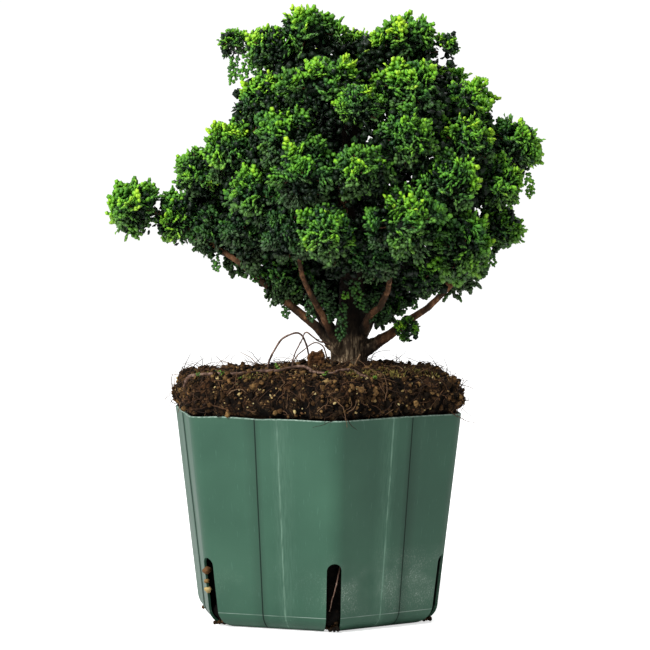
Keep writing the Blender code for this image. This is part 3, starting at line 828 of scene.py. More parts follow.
# %% Build the fan templates
SHOOTS = (  # where each leaves the middle shoot, its turn in degrees and its length
    (0.1, 60, 0.5), (0.16, -58, 0.52), (0.3, 48, 0.5), (0.36, -46, 0.5),
    (0.5, 36, 0.4), (0.54, -35, 0.4), (0.4, 0, 0.6),
)
BARE_FOOT = 0.06  # the part of a shoot that carries no lobes
LOBE_SHARE = 0.27  # a lobe's length over the fan's
LOBE_STEP = 0.135
LOBE_SPLAY_DEG = 36
FAN_CUP = 0.3


def fan_template(draw):
    """The lobes of one fan: their points, and how far along the fan each one lies."""
    lobes, along = [], []
    for start, turn_deg, length in SHOOTS:
        turn = math.radians(turn_deg + draw.uniform(-6, 6))
        length *= draw.uniform(0.88, 1.1)
        reached, splay = BARE_FOOT, draw.choice((-1, 1))
        end = length - LOBE_SHARE
        while reached < end + 0.001:
            last = reached + LOBE_STEP > end
            side_turn = 0 if last else splay * math.radians(LOBE_SPLAY_DEG)
            way = turn * 0.85 + side_turn + math.radians(draw.uniform(-10, 10))
            size = LOBE_SHARE * draw.uniform(0.85, 1.2)
            tilt = Matrix.Rotation(math.radians(draw.uniform(-16, 16)), 3, "X")
            pitch = Matrix.Rotation(math.radians(draw.uniform(-20, 8)), 3, "Y")
            turned = np.array(Matrix.Rotation(way, 3, "Z") @ pitch @ tilt)
            foot = np.array((start + reached * math.cos(turn), reached * math.sin(turn), 0))
            foot[2] = FAN_CUP * (foot[0] ** 2 + foot[1] ** 2) + draw.uniform(-0.03, 0.03)
            lobes.append(LOBE_POINTS * size @ turned.T + foot)
            along.append(foot[0] + 0.5 * size)
            reached += LOBE_STEP
            splay = -splay
    return np.array(lobes), np.array(along)


draw = np.random.default_rng(11)
FANS = [fan_template(draw) for _ in range(6)]
print("fan templates:", [len(lobes) for lobes, _ in FANS], "lobes each")

# %% [markdown]
# ## Where the tufts are
#
# Each tuft solid gives the place and size of a cloud of fans. Neighbouring clouds share the
# room between them: a wall stands half-way, and a lobe that would cross it is left out, so no
# two tufts run into each other.

# %% Measure the tufts
TUFTS = {}  # the middle and the half size of each
for node in sorted(frame["nodes"]):
    if node.startswith("foliage_"):
        low, high = (np.array(corner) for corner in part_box(node))
        TUFTS[node] = ((low + high) / 2, (high - low) / 2)
SLOTS = {part["node"]: part["material_slot"] for part in frame["record"]["subparts"]}
HEART = np.mean([centre for centre, _ in TUFTS.values()], axis=0)
print("tufts:", len(TUFTS), "heart of the crown:", HEART)

# %% Put walls between them
NEIGHBOUR_GAP = 6 * MM  # tufts further apart than this share no wall
WALL_MARGIN = 0.3 * MM
NO_WALL = 1.0  # a distance far beyond the tree
LEAST_FACING = 0.05


def walls_of(node):
    """The walls between a tuft and its neighbours: a point on each, and its outward normal."""
    centre, half = TUFTS[node]
    spots, normals = [], []
    for other, (other_centre, other_half) in TUFTS.items():
        away = other_centre - centre
        distance = np.linalg.norm(away)
        if other == node or distance > np.max(half) + np.max(other_half) + NEIGHBOUR_GAP:
            continue
        share = 0.5 * (1 + (np.mean(half) ** 2 - np.mean(other_half) ** 2) / distance**2)
        spots.append(centre + away * share - away / distance * WALL_MARGIN)
        normals.append(away / distance)
    return np.array(spots), np.array(normals)


def wall_distance(centre, ways, walls):
    """How far the nearest wall is from the centre along each way."""
    spots, normals = walls
    facing = ways @ normals.T
    room = np.sum((spots - centre) * normals, axis=1)
    reach = np.where(facing > LEAST_FACING, room / np.maximum(facing, LEAST_FACING), NO_WALL)
    return reach.min(axis=1)


def within_walls(places, walls):
    """Which of the places lie on the tuft's own side of all its walls."""
    spots, normals = walls
    beyond = np.einsum("lwk,wk->lw", places[:, None, :] - spots, normals)
    return (beyond < 0).all(axis=1)


# %% [markdown]
# ## Clumps of fans
#
# A tuft isn't an even ball. Its fans stand in clumps, each on a twig of its own, and between
# the clumps one looks into the dark. Where a tuft meets its neighbours its clumps fill the
# corner between them, and where it is free they reach out by uneven amounts, which gives the
# lumpy, ragged outline of the real tree.

# %% Place the clumps
GOLDEN = math.pi * (3 - math.sqrt(5))
CLUMPS = 22
SMALL_TUFT = 10 * MM  # a tuft smaller than this is only a few fans
SMALL_TUFT_CLUMPS = 9
WIDEST_TILT_DEG = 138
CORNER_REACH = 1.32  # how far a clump may go into the corner between tufts
HIDDEN_BELOW = 0.8  # clumps that a wall cuts shorter than this aren't seen
POINTED = 0.14  # how much less far the clumps reach that stand aslant to the tuft's own axis
POINTED_OTHERWISE = {
    "foliage_far_left_tip": 0.3, "foliage_far_left_middle": 0,
    "foliage_arm_tip_right": 0.26, "foliage_edge_right": 0.24,
}
MEETS_WALL = 1.5  # a wall nearer than so many reaches ends the clump
BULGES = (-0.28, 0.3)
JITTER = 0.16  # how far ways stray from the even pattern


def clumps_of(centre, half, walls, pointed, draw):
    """The way that each clump of a tuft looks, its reach, and how free and how far out it is."""
    axis = unit((centre - HEART) / np.linalg.norm(centre - HEART) + 0.5 * UP)
    side = unit(np.cross(axis, (0.31, 0.77, 0.55)))
    other = np.cross(axis, side)
    clumps = SMALL_TUFT_CLUMPS if np.mean(half) < SMALL_TUFT else CLUMPS
    index = np.arange(clumps) + 0.5
    tilt = np.arccos(1 - index / clumps * (1 - math.cos(math.radians(WIDEST_TILT_DEG))))
    turn = GOLDEN * index + draw.uniform(0, 6)
    around = np.cos(turn)[:, None] * side + np.sin(turn)[:, None] * other
    out = np.cos(tilt)[:, None] * axis + np.sin(tilt)[:, None] * around
    out = unit(out + draw.normal(0, JITTER, out.shape))
    slant = np.maximum(np.sin(2 * np.arccos(np.clip(out @ axis, -1, 1))), 0)
    reach = np.linalg.norm(half * out, axis=1) * (1 - pointed * slant)
    to_wall = wall_distance(centre, out, walls)
    bulge = draw.uniform(*BULGES, clumps)
    free = smoothstep(1.15, 1.7, to_wall / reach)
    room = np.minimum(to_wall, CORNER_REACH * reach) * (1 + np.minimum(bulge, 0))
    far = np.where(to_wall < MEETS_WALL * reach, room, reach * (1 + bulge))
    kept = to_wall > HIDDEN_BELOW * reach
    return out[kept], far[kept], free[kept], bulge[kept]


# %% [markdown]
# ## Grow a tuft
#
# The fans of a clump spring from one place and spread like the fingers of a hand, most of
# them upwards.

# %% Grow the fans
FAN_LENGTH = 12.2 * MM
FOOT_DEPTH = 0.78
FANS_PER_CLUMP = 5
SPREAD_DEG = 54
TORN_SHARE = 0.4  # a fan that keeps less of its lobes than this is left out
UPWARDS = 0.38  # how much the clumps turn up


def frame_of(grow, face):
    """The turn that lays a fan or a lobe along grow, with its upper side towards face."""
    return np.stack([grow, np.cross(face, grow), face], axis=-1)


def clump_fans(centre, out, far, draw):
    """Foot, growing direction and face of each fan of a clump."""
    axis = unit(out + UPWARDS * UP + draw.normal(0, JITTER, 3))
    side = unit(np.cross(axis, draw.normal(0, 1, 3)))
    other = np.cross(axis, side)
    foot = centre + out * max(far - FOOT_DEPTH * FAN_LENGTH, 0.3 * far)
    start = draw.uniform(0, 6)
    for k in range(FANS_PER_CLUMP):
        tilt = math.radians(SPREAD_DEG) * math.sqrt((k + 0.2) / (FANS_PER_CLUMP - 0.5))
        tilt *= draw.uniform(0.85, 1.15)
        turn = start + GOLDEN * k
        around = side * math.cos(turn) + other * math.sin(turn)
        grow = unit(axis * math.cos(tilt) + around * math.sin(tilt))
        face = unit(axis - grow * np.dot(axis, grow) + draw.normal(0, 0.2, 3))
        face = unit(face - grow * np.dot(face, grow))
        yield foot, grow, face


# %% [markdown]
# Behind the fans lies the shaded middle of the tuft, painted dark as shade: a small dented ball,
# wrapped in older and larger lobes, also painted dark, that lie flat and close off the view
# through the crown.

# %% Model the shaded middle
def ball_shape(subdivisions):
    """The points and triangles of a round ball of radius 1."""
    bpy.ops.object.select_all(action="DESELECT")
    bpy.ops.mesh.primitive_ico_sphere_add(subdivisions=subdivisions, radius=1)
    ball = bpy.context.active_object
    points = points_of(ball)
    triangles = np.array([tuple(face.vertices) for face in ball.data.polygons])
    bpy.data.objects.remove(ball)
    return points, triangles


BALL_POINTS, BALL_TRIANGLES = ball_shape(2)
CORE_SHARE = 0.5
DENTS = 0.4


def tuft_core(centre, half, walls):
    """The dented ball in the middle of a tuft, pressed flat where it meets a wall."""
    dents = [1 + DENTS * noise.noise(Vector(p * 3 + centre * 90)) for p in BALL_POINTS]
    share = 0.5 * CORE_SHARE if np.mean(half) < SMALL_TUFT else CORE_SHARE
    points = centre + half * BALL_POINTS * share * np.array(dents)[:, None]
    for spot, normal in zip(*walls):
        beyond = np.maximum((points - spot) @ normal, 0)
        points -= beyond[:, None] * normal
    return points


print("core:", len(BALL_POINTS), "points,", len(BALL_TRIANGLES), "triangles")

# %% Wrap it in old lobes, painted dark
INNER_LOBES = 200
INNER_LOBE_LENGTH = 3.9 * MM
INNER_SHARE = 0.66  # how far out they lie, over the tuft's half size
INNER_CORNER_SHARE = 0.84  # and over the way to a wall
INNER_REACH = 1.02


def inner_lobes(centre, half, walls, draw):
    """Large old lobes, painted dark as shade, that lie close round the middle and fill the corners
    between tufts.
    """
    count = INNER_LOBES // 6 if np.mean(half) < SMALL_TUFT else INNER_LOBES
    ways = unit(draw.normal(0, 1, (count, 3)))
    reach = np.linalg.norm(half * ways, axis=1)
    to_wall = wall_distance(centre, ways, walls)
    corner = INNER_CORNER_SHARE * np.minimum(to_wall, INNER_REACH * reach)
    deep = np.where(to_wall < MEETS_WALL * reach, corner, INNER_SHARE * reach)
    deep = deep * draw.uniform(0.75, 1.08, count)
    grow = unit(np.cross(ways, draw.normal(0, 1, ways.shape)) + 0.5 * ways)
    face = unit(ways - grow * np.sum(ways * grow, axis=1, keepdims=True))
    sizes = INNER_LOBE_LENGTH * draw.uniform(0.7, 1.15, count)
    lobes = np.einsum("njk,pk,n->npj", frame_of(grow, face), LOBE_POINTS, sizes)
    placed = centre + (ways * deep[:, None])[:, None] + lobes
    return placed[within_walls(placed.mean(axis=1), walls)]


# %% [markdown]
# A tuft is all of this in one mesh: the lobes of its fans, the dark inner lobes, the dented
# core and a short twig for each clump. The numbers that each point carries say how young and how
# lit it is, how it varies in tone, whether it is seen from below, and whether it is wood. The
# tips of the fans are the youngest. The outer, upper and freest lobes and the tufts at the
# crown's edge are painted lighter, and the inner lobes and the core darker: painted light and shade.

# %% Put a tuft together
CROWN_HALF = np.array((113, 87, 85)) * MM
# Painted light: the tufts at the crown's edge are lighter than those in its middle.
DULLEST, BRIGHTEST = 0.86, 1.12  # in the middle and at the edge of the crown
OLD_YOUTH = 0.42  # the youth of the tufts with the old foliage's finish
CORE_TONE, TWIG_TONE = 0.3, 0.5
TWIG_RADII = np.array((0.5, 0.42, 0.25)) * MM


def youth_light_of(node):
    """How young and how lit the lobes of a whole tuft are: its finish, and painted light by its
    place in the crown.
    """
    rim = np.hypot(*((TUFTS[node][0] - HEART) / CROWN_HALF)[[0, 2]])
    light = DULLEST + (BRIGHTEST - DULLEST) * float(smoothstep(0.25, 0.8, rim))
    return light if SLOTS[node] == "foliage_new" else OLD_YOUTH * light


def grow_tuft(node, material, seed):
    """One tuft: clumps of small fans round a lumpy core, painted dark as shade."""
    draw = np.random.default_rng(seed)
    centre, half = TUFTS[node]
    walls = walls_of(node)
    youth_light_level = youth_light_of(node)
    pointed = POINTED_OTHERWISE.get(node, POINTED)
    points, young, tone, below, twigs = [], [], [], [], []
    for out, far, free, bulge in zip(*clumps_of(centre, half, walls, pointed, draw)):
        # Painted light and shade: clumps that stand free and reach out are lighter, those sunk
        # between others darker.
        clump_youth_light = youth_light_level * draw.uniform(0.55, 1.12)
        clump_youth_light *= (0.66 + 0.34 * free) * (0.86 + 0.9 * bulge)
        clump_tone = draw.random()
        bend = centre + out * 0.55 * far - 0.6 * MM * UP
        twigs.append([centre + out * 0.3 * far, bend, centre + out * 0.8 * far])
        for foot, grow, face in clump_fans(centre, out, far, draw):
            lobes, along = FANS[draw.integers(len(FANS))]
            length = min(FAN_LENGTH, 0.8 * np.mean(half)) * draw.uniform(0.82, 1.12)
            placed = foot + (lobes * length) @ frame_of(grow, face).T
            middles = placed.mean(axis=1)
            kept = within_walls(middles, walls)
            if kept.mean() < TORN_SHARE:
                continue
            points.append(placed[kept])
            # Painted light: the upper lobes of a tuft are lighter. The tips of a fan are younger.
            height = (middles[kept, 2] - centre[2]) / half[2]
            light = clump_youth_light * (0.84 + 0.16 * np.clip(height, -1, 1))
            light = light * along[kept] ** 1.2 * draw.uniform(0.85, 1.15)
            young.append(np.repeat(light, LOBE_SIZE))
            size = LOBE_SIZE * kept.sum()
            tone.append(np.full(size, 0.7 * clump_tone + 0.3 * draw.random()))
            below.append(np.full(size, float(smoothstep(0.2, -0.6, grow[2]))))
    inner = inner_lobes(centre, half, walls, draw)
    # Painted shade: the inner lobes get youth and light near zero, so they are nearly black.
    young.append(np.repeat(draw.uniform(-0.14, 0.1, len(inner)), LOBE_SIZE))
    tone.append(np.repeat(draw.uniform(0, 1, len(inner)), LOBE_SIZE))
    below.append(np.zeros(LOBE_SIZE * len(inner)))
    lobes = np.concatenate(points + [inner])
    core = tuft_core(centre, half, walls)
    twig_points, twig_triangles = tubes(np.array(twigs), np.tile(TWIG_RADII, (len(twigs), 1)), 3)
    leafy, plain, wood = LOBE_SIZE * len(lobes), len(core), len(twig_points)
    # Painted shade: the core gets no youth and light, so it is nearly black.
    return from_arrays(
        "leafy" + node.removeprefix("foliage"),
        np.vstack([lobes.reshape(-1, 3), core, twig_points]),
        np.vstack([
            repeated(LOBE_TRIANGLES, LOBE_SIZE, len(lobes)),
            BALL_TRIANGLES + leafy,
            twig_triangles + leafy + plain,
        ]),
        material,
        young=np.concatenate(young + [np.zeros(plain + wood)]),
        tone=np.concatenate(tone + [np.full(plain, CORE_TONE), np.full(wood, TWIG_TONE)]),
        below=np.concatenate(below + [np.zeros(plain + wood)]),
        woody=np.concatenate([np.zeros(leafy + plain), np.ones(wood)]),
    )


# %% [markdown]
# ## The foliage finish
#
# New growth is a sharp yellow-green and last year's a full green. What lies deep or low is
# painted dark, as painted shade, and what faces down is dulled by the blue-grey bloom that hinoki
# has on its undersides. A lobe's youth and painted light pick its place on that scale, and noise
# breaks up what would be even. The scale leaves themselves are a fine cell pattern that lifts the
# surface a little.

# %% Foliage
leaf, tree, shader = new_material("hinoki_foliage", 0.5, Specular_IOR_Level=0.22)
swing = span(tree, noise_in(tree, 300, 3), 0.3, 0.7, -0.13, 0.13)
youth_light_level = tree.nodes.new("ShaderNodeMath")  # adds its two inputs
tree.links.new(value_of(tree, "young"), youth_light_level.inputs[0])
tree.links.new(swing, youth_light_level.inputs[1])
green = ramp(
    tree, youth_light_level.outputs[0],
    (0.0, (0.004, 0.012, 0.004)), (0.18, (0.026, 0.085, 0.016)), (0.4, (0.09, 0.26, 0.02)),
    (0.62, (0.18, 0.44, 0.02)), (0.85, (0.38, 0.62, 0.03)),
)
cooler = times(tree, green, (0.62, 0.86, 1.5))
green = mix(tree, ramp(tree, value_of(tree, "tone"), (0.35, 0.0), (1.0, 0.7)), green, cooler)
bloom = span(tree, value_of(tree, "below"), 0, 1, 0, 0.36)
green = mix(tree, bloom, green, (0.096, 0.132, 0.066))
green = mix(tree, value_of(tree, "woody"), green, (0.07, 0.028, 0.014))
tree.links.new(green, shader.inputs["Base Color"])
cells = add(tree, "TexVoronoi", Vector=at(tree), Scale=1400.0).outputs["Distance"]
tree.links.new(ramp(tree, cells, (0.0, 0.62), (0.6, 0.42)), shader.inputs["Roughness"])
bump(tree, shader, cells, 0.35, 0.3 * MM)

# %% Grow all the tufts
for seed, node in enumerate(TUFTS):
    settle(grow_tuft(node, leaf, 100 + seed), SLOTS[node], node)

# %% [markdown]
# Deep inside the crown no light reaches the shoots, and what is left is a loose filling of old
# lobes, painted dark as shade. They close most of the gaps between the tufts of the front and
# of the back.

# %% Fill the heart of the crown
FILLING_TRIES = 30000
FILLING_LOBES = 5200
FILLING_LOBE_LENGTH = 6 * MM
AROUND = 8  # a place is inside the crown if its nearest tufts lie on all sides of it
MOST_ONE_SIDED = 0.33
NEAREST, FARTHEST = 0.6, 1.5  # from the nearest tuft's middle, in its half sizes
BEHIND_STEM = (np.array((12, 26, 176)) * MM, np.array((24, 13, 20)) * MM, 460)


def inner_places(draw):
    """Random places inside the crown, and some behind the stem."""
    centres = np.array([centre for centre, _ in TUFTS.values()])
    halves = np.array([half for _, half in TUFTS.values()])
    places = draw.uniform(centres.min(axis=0), centres.max(axis=0), (FILLING_TRIES, 3))
    away = centres - places[:, None]
    closest = np.argsort(np.linalg.norm(away, axis=2), axis=1)[:, :AROUND]
    ways = unit(np.take_along_axis(away, closest[:, :, None], axis=1))
    one_sided = np.linalg.norm(ways.mean(axis=1), axis=1)
    depth = np.linalg.norm(away / halves, axis=2).min(axis=1)
    wanted = (one_sided < MOST_ONE_SIDED) & (depth > NEAREST) & (depth < FARTHEST)
    places = places[wanted][:FILLING_LOBES]
    print("inner places:", len(places))
    middle, half, more = BEHIND_STEM
    around = unit(draw.normal(0, 1, (more, 3)))
    behind = middle + half * around * draw.uniform(0.3, 1, (more, 1))
    return np.vstack([places, behind])


def crown_filling(draw):
    """Old lobes, painted dark as shade, each turned its own way, in the places inside the crown."""
    places = inner_places(draw)
    count = len(places)
    grow = unit(draw.normal(0, 1, places.shape))
    face = unit(np.cross(grow, draw.normal(0, 1, places.shape)))
    sizes = FILLING_LOBE_LENGTH * draw.uniform(0.6, 1.1, count)
    lobes = np.einsum("njk,pk,n->npj", frame_of(grow, face), LOBE_POINTS, sizes)
    points = (places[:, None] + lobes).reshape(-1, 3)
    # Painted shade: the filling lobes get the lowest youth and light, so they are nearly black.
    young = np.repeat(draw.uniform(-0.14, 0.04, count), LOBE_SIZE)
    none = np.zeros(len(young))
    return from_arrays(
        "shaded_inner_foliage", points, repeated(LOBE_TRIANGLES, LOBE_SIZE, count), leaf,
        young=young, tone=none, below=none, woody=none,
    )


settle(crown_filling(np.random.default_rng(77)), "foliage_old")

# %% [markdown]
# A few sprigs hang from the lower limbs in front of the stem and from the ends of the outer
# tufts, one fan below the other.

# %% Hang the sprigs
# The youth of each sprig also holds painted light and shade: those under the lower limbs are painted
# darker.
SPRIGS = (  # the upper end in mm, how many fans hang below it, the length of a fan and its youth
    ((12, -12, 166), 4, 8.5, 0.16), ((9, -10, 172), 3, 9, 0.1), ((20, -14, 178), 3, 9, 0.22),
    ((24, -12, 170), 2, 8, 0.1), ((3, -12, 178), 3, 9, 0.12), ((-4, -8, 170), 3, 8, 0.1),
    ((16, -14, 172), 1, 7, 0.5), ((31, -12, 172), 2, 8, 0.14), ((-42, 6, 294), 3, 8.5, 0.34),
    ((-37, 4, 295), 3, 8.5, 0.42), ((-33, 2, 293), 2, 8.5, 0.3), ((51, -12, 170), 2, 6.5, 0.15),
    ((46, -11, 167), 2, 6, 0.12), ((36, -8, 165), 2, 7.5, 0.12), ((30, -10, 164), 2, 7, 0.1),
    ((-53, 2, 190), 2, 7, 0.24), ((-33, -6, 184), 2, 7, 0.2), ((-17, 0, 166), 2, 7, 0.16),
    ((108, -4, 233), 3, 7.5, 0.5), ((92, -4, 193), 2, 7.5, 0.3),
)
SPRIG_STEP = 0.55  # from one fan's foot to the next, in fan lengths
SPRIG_TONE, SPRIG_BELOW = 0.7, 0.42


def hanging_sprigs(draw):
    """Chains of fans that hang one from the other, with their faces to the front."""
    points, young = [], []
    for end, fans, length, youth_light_level in SPRIGS:
        foot = np.array(end) * MM
        for _ in range(fans):
            lobes, along = FANS[draw.integers(len(FANS))]
            grow = unit(np.array((draw.uniform(-0.5, 0.5), draw.uniform(-0.4, 0), -1)))
            face = unit(np.array((draw.uniform(-0.6, 0.6), -1, 0.4)))
            face = unit(face - grow * np.dot(face, grow))
            points.append(foot + (lobes * length * MM) @ frame_of(grow, face).T)
            young.append(np.repeat(youth_light_level * (0.5 + along), LOBE_SIZE))
            foot = foot + grow * SPRIG_STEP * length * MM
    lobes = np.concatenate(points)
    young = np.concatenate(young)
    return from_arrays(
        "hanging_sprigs", lobes.reshape(-1, 3),
        repeated(LOBE_TRIANGLES, LOBE_SIZE, len(lobes)), leaf,
        young=young, tone=np.full(len(young), SPRIG_TONE),
        below=np.full(len(young), SPRIG_BELOW), woody=np.zeros(len(young)),
    )


settle(hanging_sprigs(np.random.default_rng(78)), "foliage_old")

# %% [markdown]
# ## The root ball
#
# The soil stands proud of the pot, cut to its shape by the pot that it came out of. Its solid
# is remeshed, and noise of several sizes lifts and dents it where it is in the open. Below
# the rim it only moves inwards, because the plastic wall is in the way.

# %% Roughen the soil
ROOT_BARE = 3.5 * MM  # the soil lies low within this distance of the long root
BROAD_LUMPS, SMALL_LUMPS = (9 * MM, 1.6), (4.2 * MM, 2.2)  # their length, and height in mm

root_points = points_of(bpy.data.objects["surface_root"])
root_places = KDTree(len(root_points))
for i, place in enumerate(root_points):
    root_places.insert(place, i)
root_places.balance()
soil = remeshed("soil", "root_ball_soil", 1.9 * MM, 1)


def soil_relief(spot):
    """Crumbs and hollows in the open, hollows only inside the pot."""
    lumps = -0.3
    for length, height in (BROAD_LUMPS, SMALL_LUMPS):
        lumps += noise.noise(spot / length) * height
    if root_places.find(spot)[2] < ROOT_BARE:
        lumps = min(lumps, 0.3) - 1
    if spot.z < POT_HEIGHT + 0.5 * MM:
        lumps = -abs(lumps)
    return lumps * MM


heights = [soil_relief(vert.co) for vert in soil.data.vertices]
raise_relief(soil, soil_relief)
carry(soil, "lift", np.array(heights) / MM)

# %% Draw the soil back from the rim
DRAWN_BACK = 2.4 * MM
DRAWN_ZONE = 4 * MM  # above and below the rim
OUTER_SOIL = 55 * MM  # further than this from the axis

for vert in soil.data.vertices:
    near_rim = 1 - min(1.0, abs(vert.co.z - POT_HEIGHT - 0.5 * MM) / DRAWN_ZONE)
    flat = Vector((vert.co.x, vert.co.y, 0))
    if flat.length > OUTER_SOIL:
        vert.co -= flat.normalized() * DRAWN_BACK * near_rim

# %% [markdown]
# The soil is painted nearly black, as painted shade, where it is sunk or in the cracks between
# clods, and it is lighter where fine threads and dry crumbs lie on top. Inside the pot no light
# reaches it, and it is painted dark there as well.

# %% Soil finish
# The colour of the painted shade on the soil.
SOIL_SHADE = (0.002, 0.0014, 0.001)
DARK_BELOW, LIT_ABOVE = 100 * MM, 108 * MM  # heights, just under the rim

earth, tree, shader = new_material("fibrous_soil", 0.95, Specular_IOR_Level=0.1)
fine = noise_in(tree, 520, 8, Roughness=0.75)
brown = ramp(
    tree, fine,
    (0.4, (0.003, 0.002, 0.0012)), (0.53, (0.03, 0.016, 0.007)), (0.65, (0.22, 0.13, 0.055)),
)
coarse = ramp(tree, noise_in(tree, 75, 3), (0.45, 0.0), (0.65, 0.45))
brown = mix(tree, coarse, brown, (0.05, 0.018, 0.006))
threads = noise_in(tree, 330, 4, (1, 1, 3.2), Distortion=2.5)
threads = ramp(tree, threads, (0.49, 0.0), (0.515, 0.8), (0.54, 0.0))
brown = mix(tree, threads, brown, (0.2, 0.1, 0.045))

place = add(tree, "TexCoord").outputs["Object"]
warp = add(tree, "TexNoise", Vector=at(tree), Scale=300.0, Detail=2.0).outputs["Color"]
warped = mix(tree, 0.003, place, warp, "ADD")
# Painted shade: the cracks between the clods are painted nearly black.
clods = add(tree, "TexVoronoi", {"feature": "DISTANCE_TO_EDGE"}, Vector=warped, Scale=330.0)
crack_shade = ramp(tree, clods.outputs["Distance"], (0.03, 0.9), (0.2, 0.0))
brown = mix(tree, crack_shade, brown, SOIL_SHADE)
# Painted shade where the relief is sunk.
brown = mix(tree, span(tree, value_of(tree, "lift"), 0.1, -0.9, 0, 0.95), brown, SOIL_SHADE)
# Painted shade below the rim, inside the pot.
depth = add(tree, "SeparateXYZ", Vector=place).outputs["Z"]
brown = mix(tree, span(tree, depth, LIT_ABOVE, DARK_BELOW, 0, 0.92), brown, SOIL_SHADE)
tree.links.new(brown, shader.inputs["Base Color"])
bump(tree, shader, fine, 1.0, 2 * MM)
soil.data.materials.append(earth)
settle(soil, "soil", "soil")

# %% [markdown]
# ## Loose things on the soil
#
# A closer look shows what the root ball is made of: crumbs, grit, flakes of bark and a felt
# of fine roots. Places for them are drawn at random over the open part of the soil.

# %% Draw places on the open soil
def open_places(count, draw, low=POT_HEIGHT + 1 * MM):
    """Random places on the soil above a height, with the surface's normals."""
    mesh = soil.data
    mesh.calc_loop_triangles()
    corners = np.array([tuple(triangle.vertices) for triangle in mesh.loop_triangles])
    places = points_of(soil)[corners]
    from_root = np.array([root_places.find(corner)[2] for corner in places[:, 0]])
    places = places[(places[:, :, 2].min(axis=1) > low) & (from_root > ROOT_BARE)]
    across = np.cross(places[:, 1] - places[:, 0], places[:, 2] - places[:, 0])
    area = np.linalg.norm(across, axis=1)
    chosen = draw.choice(len(places), count, p=area / area.sum())
    weights = draw.dirichlet((1, 1, 1), count)
    return np.einsum("nc,nck->nk", weights, places[chosen]), unit(across[chosen])


# %% Scatter stones
def scatter_stones(name, count, sizes, material, seed, subdivisions=1, sink=0.2):
    """Uneven stones or crumbs from one ball, each with its own size, turn and tone."""
    draw = np.random.default_rng(seed)
    shape, faces = ball_shape(subdivisions)
    places, normals = open_places(count, draw)
    all_points, all_tones = [], []
    for place, normal in zip(places, normals):
        rough = np.array([1 + 0.8 * noise.noise(Vector(p * 1.9 + place * 3000)) for p in shape])
        size = draw.uniform(*sizes) * draw.uniform(0.6, 1.0)
        stretch = draw.uniform(0.4, 1.15, 3)
        angle = draw.uniform(0, 6.28)
        turn = np.array(Matrix.Rotation(angle, 3, Vector(unit(draw.normal(0, 1, 3)))))
        stone = (shape * rough[:, None] * stretch * size) @ turn.T
        all_points.append(stone + place + normal * size * (0.5 - sink))
        all_tones.append(np.full(len(shape), draw.random()))
    triangles = repeated(faces, len(shape), count)
    tones = np.concatenate(all_tones)
    return from_arrays(name, np.concatenate(all_points), triangles, material, tone=tones)


# %% Crumbs
crumb, tree, shader = new_material("soil_crumb", 0.95, Specular_IOR_Level=0.1)
shade = ramp(
    tree, value_of(tree, "tone"),
    (0.0, (0.003, 0.002, 0.0012)), (0.45, (0.016, 0.009, 0.004)),
    (0.75, (0.1, 0.05, 0.018)), (1.0, (0.24, 0.14, 0.05)),
)
speckled(
    tree, shader, shade, (0.006, 0.004, 0.002),
    grain=(900, 6), specks=(0.35, 0.65, 0.75), relief=(0.8, 0.6 * MM),
)
settle(scatter_stones("soil_crumbs", 2400, (0.8 * MM, 2.4 * MM), crumb, 21), "soil")

# %% Bits of bark and pebbles
grit, tree, shader = new_material("soil_grit", 0.75, Specular_IOR_Level=0.25)
shade = ramp(
    tree, value_of(tree, "tone"),
    (0.0, (0.08, 0.03, 0.009)), (0.4, (0.18, 0.09, 0.025)),
    (0.8, (0.36, 0.25, 0.09)), (1.0, (0.55, 0.46, 0.22)),
)
speckled(
    tree, shader, shade, (0.05, 0.025, 0.01),
    grain=(500, 5), specks=(0.3, 0.6, 0.6), relief=(0.6, 0.6 * MM),
)
settle(scatter_stones("soil_bark_bits", 800, (0.45 * MM, 1.25 * MM), grit, 23), "soil")
pebbles = scatter_stones(
    "soil_pebbles", 34, (1.2 * MM, 2.4 * MM), grit, 22, subdivisions=2, sink=0.3
)
settle(pebbles, "soil")

# %% [markdown]
# ## Moss and weeds
#
# Moss has settled on the right of the root ball and here and there in front: thousands of stems
# a millimetre or two tall, which are drawn as short tapering tubes. A few seedlings have opened
# their first leaves, and the lobe of the foliage serves as such a leaf.

# %% Draw the moss
MOSS_PATCHES = (  # x, y and reach of each in mm, and how many stems stand on it
    (34, -34, 13, 420), (52, -22, 10, 260), (22, -46, 7, 120), (-30, -40, 6, 90), (-58, -18, 6, 80),
)
MOSS_PLACES = 16000
MOSS_HEIGHT = 1.9 * MM
MOSS_RADII = np.array((0.22, 0.32, 0.1)) * MM


def moss_stems(draw):
    """Short stems on the soil, close together within each patch."""
    places, normals = open_places(MOSS_PLACES, draw)
    ragged = np.array([noise.noise(Vector(place) / (5 * MM)) for place in places])
    chosen = []
    for x, y, reach, count in MOSS_PATCHES:
        off = np.linalg.norm(places[:, :2] / MM - (x, y), axis=1) / reach
        chosen.extend(np.flatnonzero(off + 0.5 * ragged < 1)[:count])
    feet, outward = places[chosen], normals[chosen]
    grow = unit(outward + 0.5 * UP + draw.normal(0, 0.35, outward.shape))
    tall = MOSS_HEIGHT * draw.uniform(0.5, 1.1, (len(feet), 1))
    bend = draw.normal(0, 0.2 * MM, feet.shape)
    middle, top = feet + 0.6 * grow * tall + bend, feet + grow * tall
    routes = np.stack([feet - 0.3 * MM * outward, middle, top], axis=1)
    points, triangles = tubes(routes, np.tile(MOSS_RADII, (len(feet), 1)), 3)
    tones = np.repeat(draw.random(len(feet)), len(points) // len(feet))
    return from_arrays("soil_moss", points, triangles, moss, tone=tones)


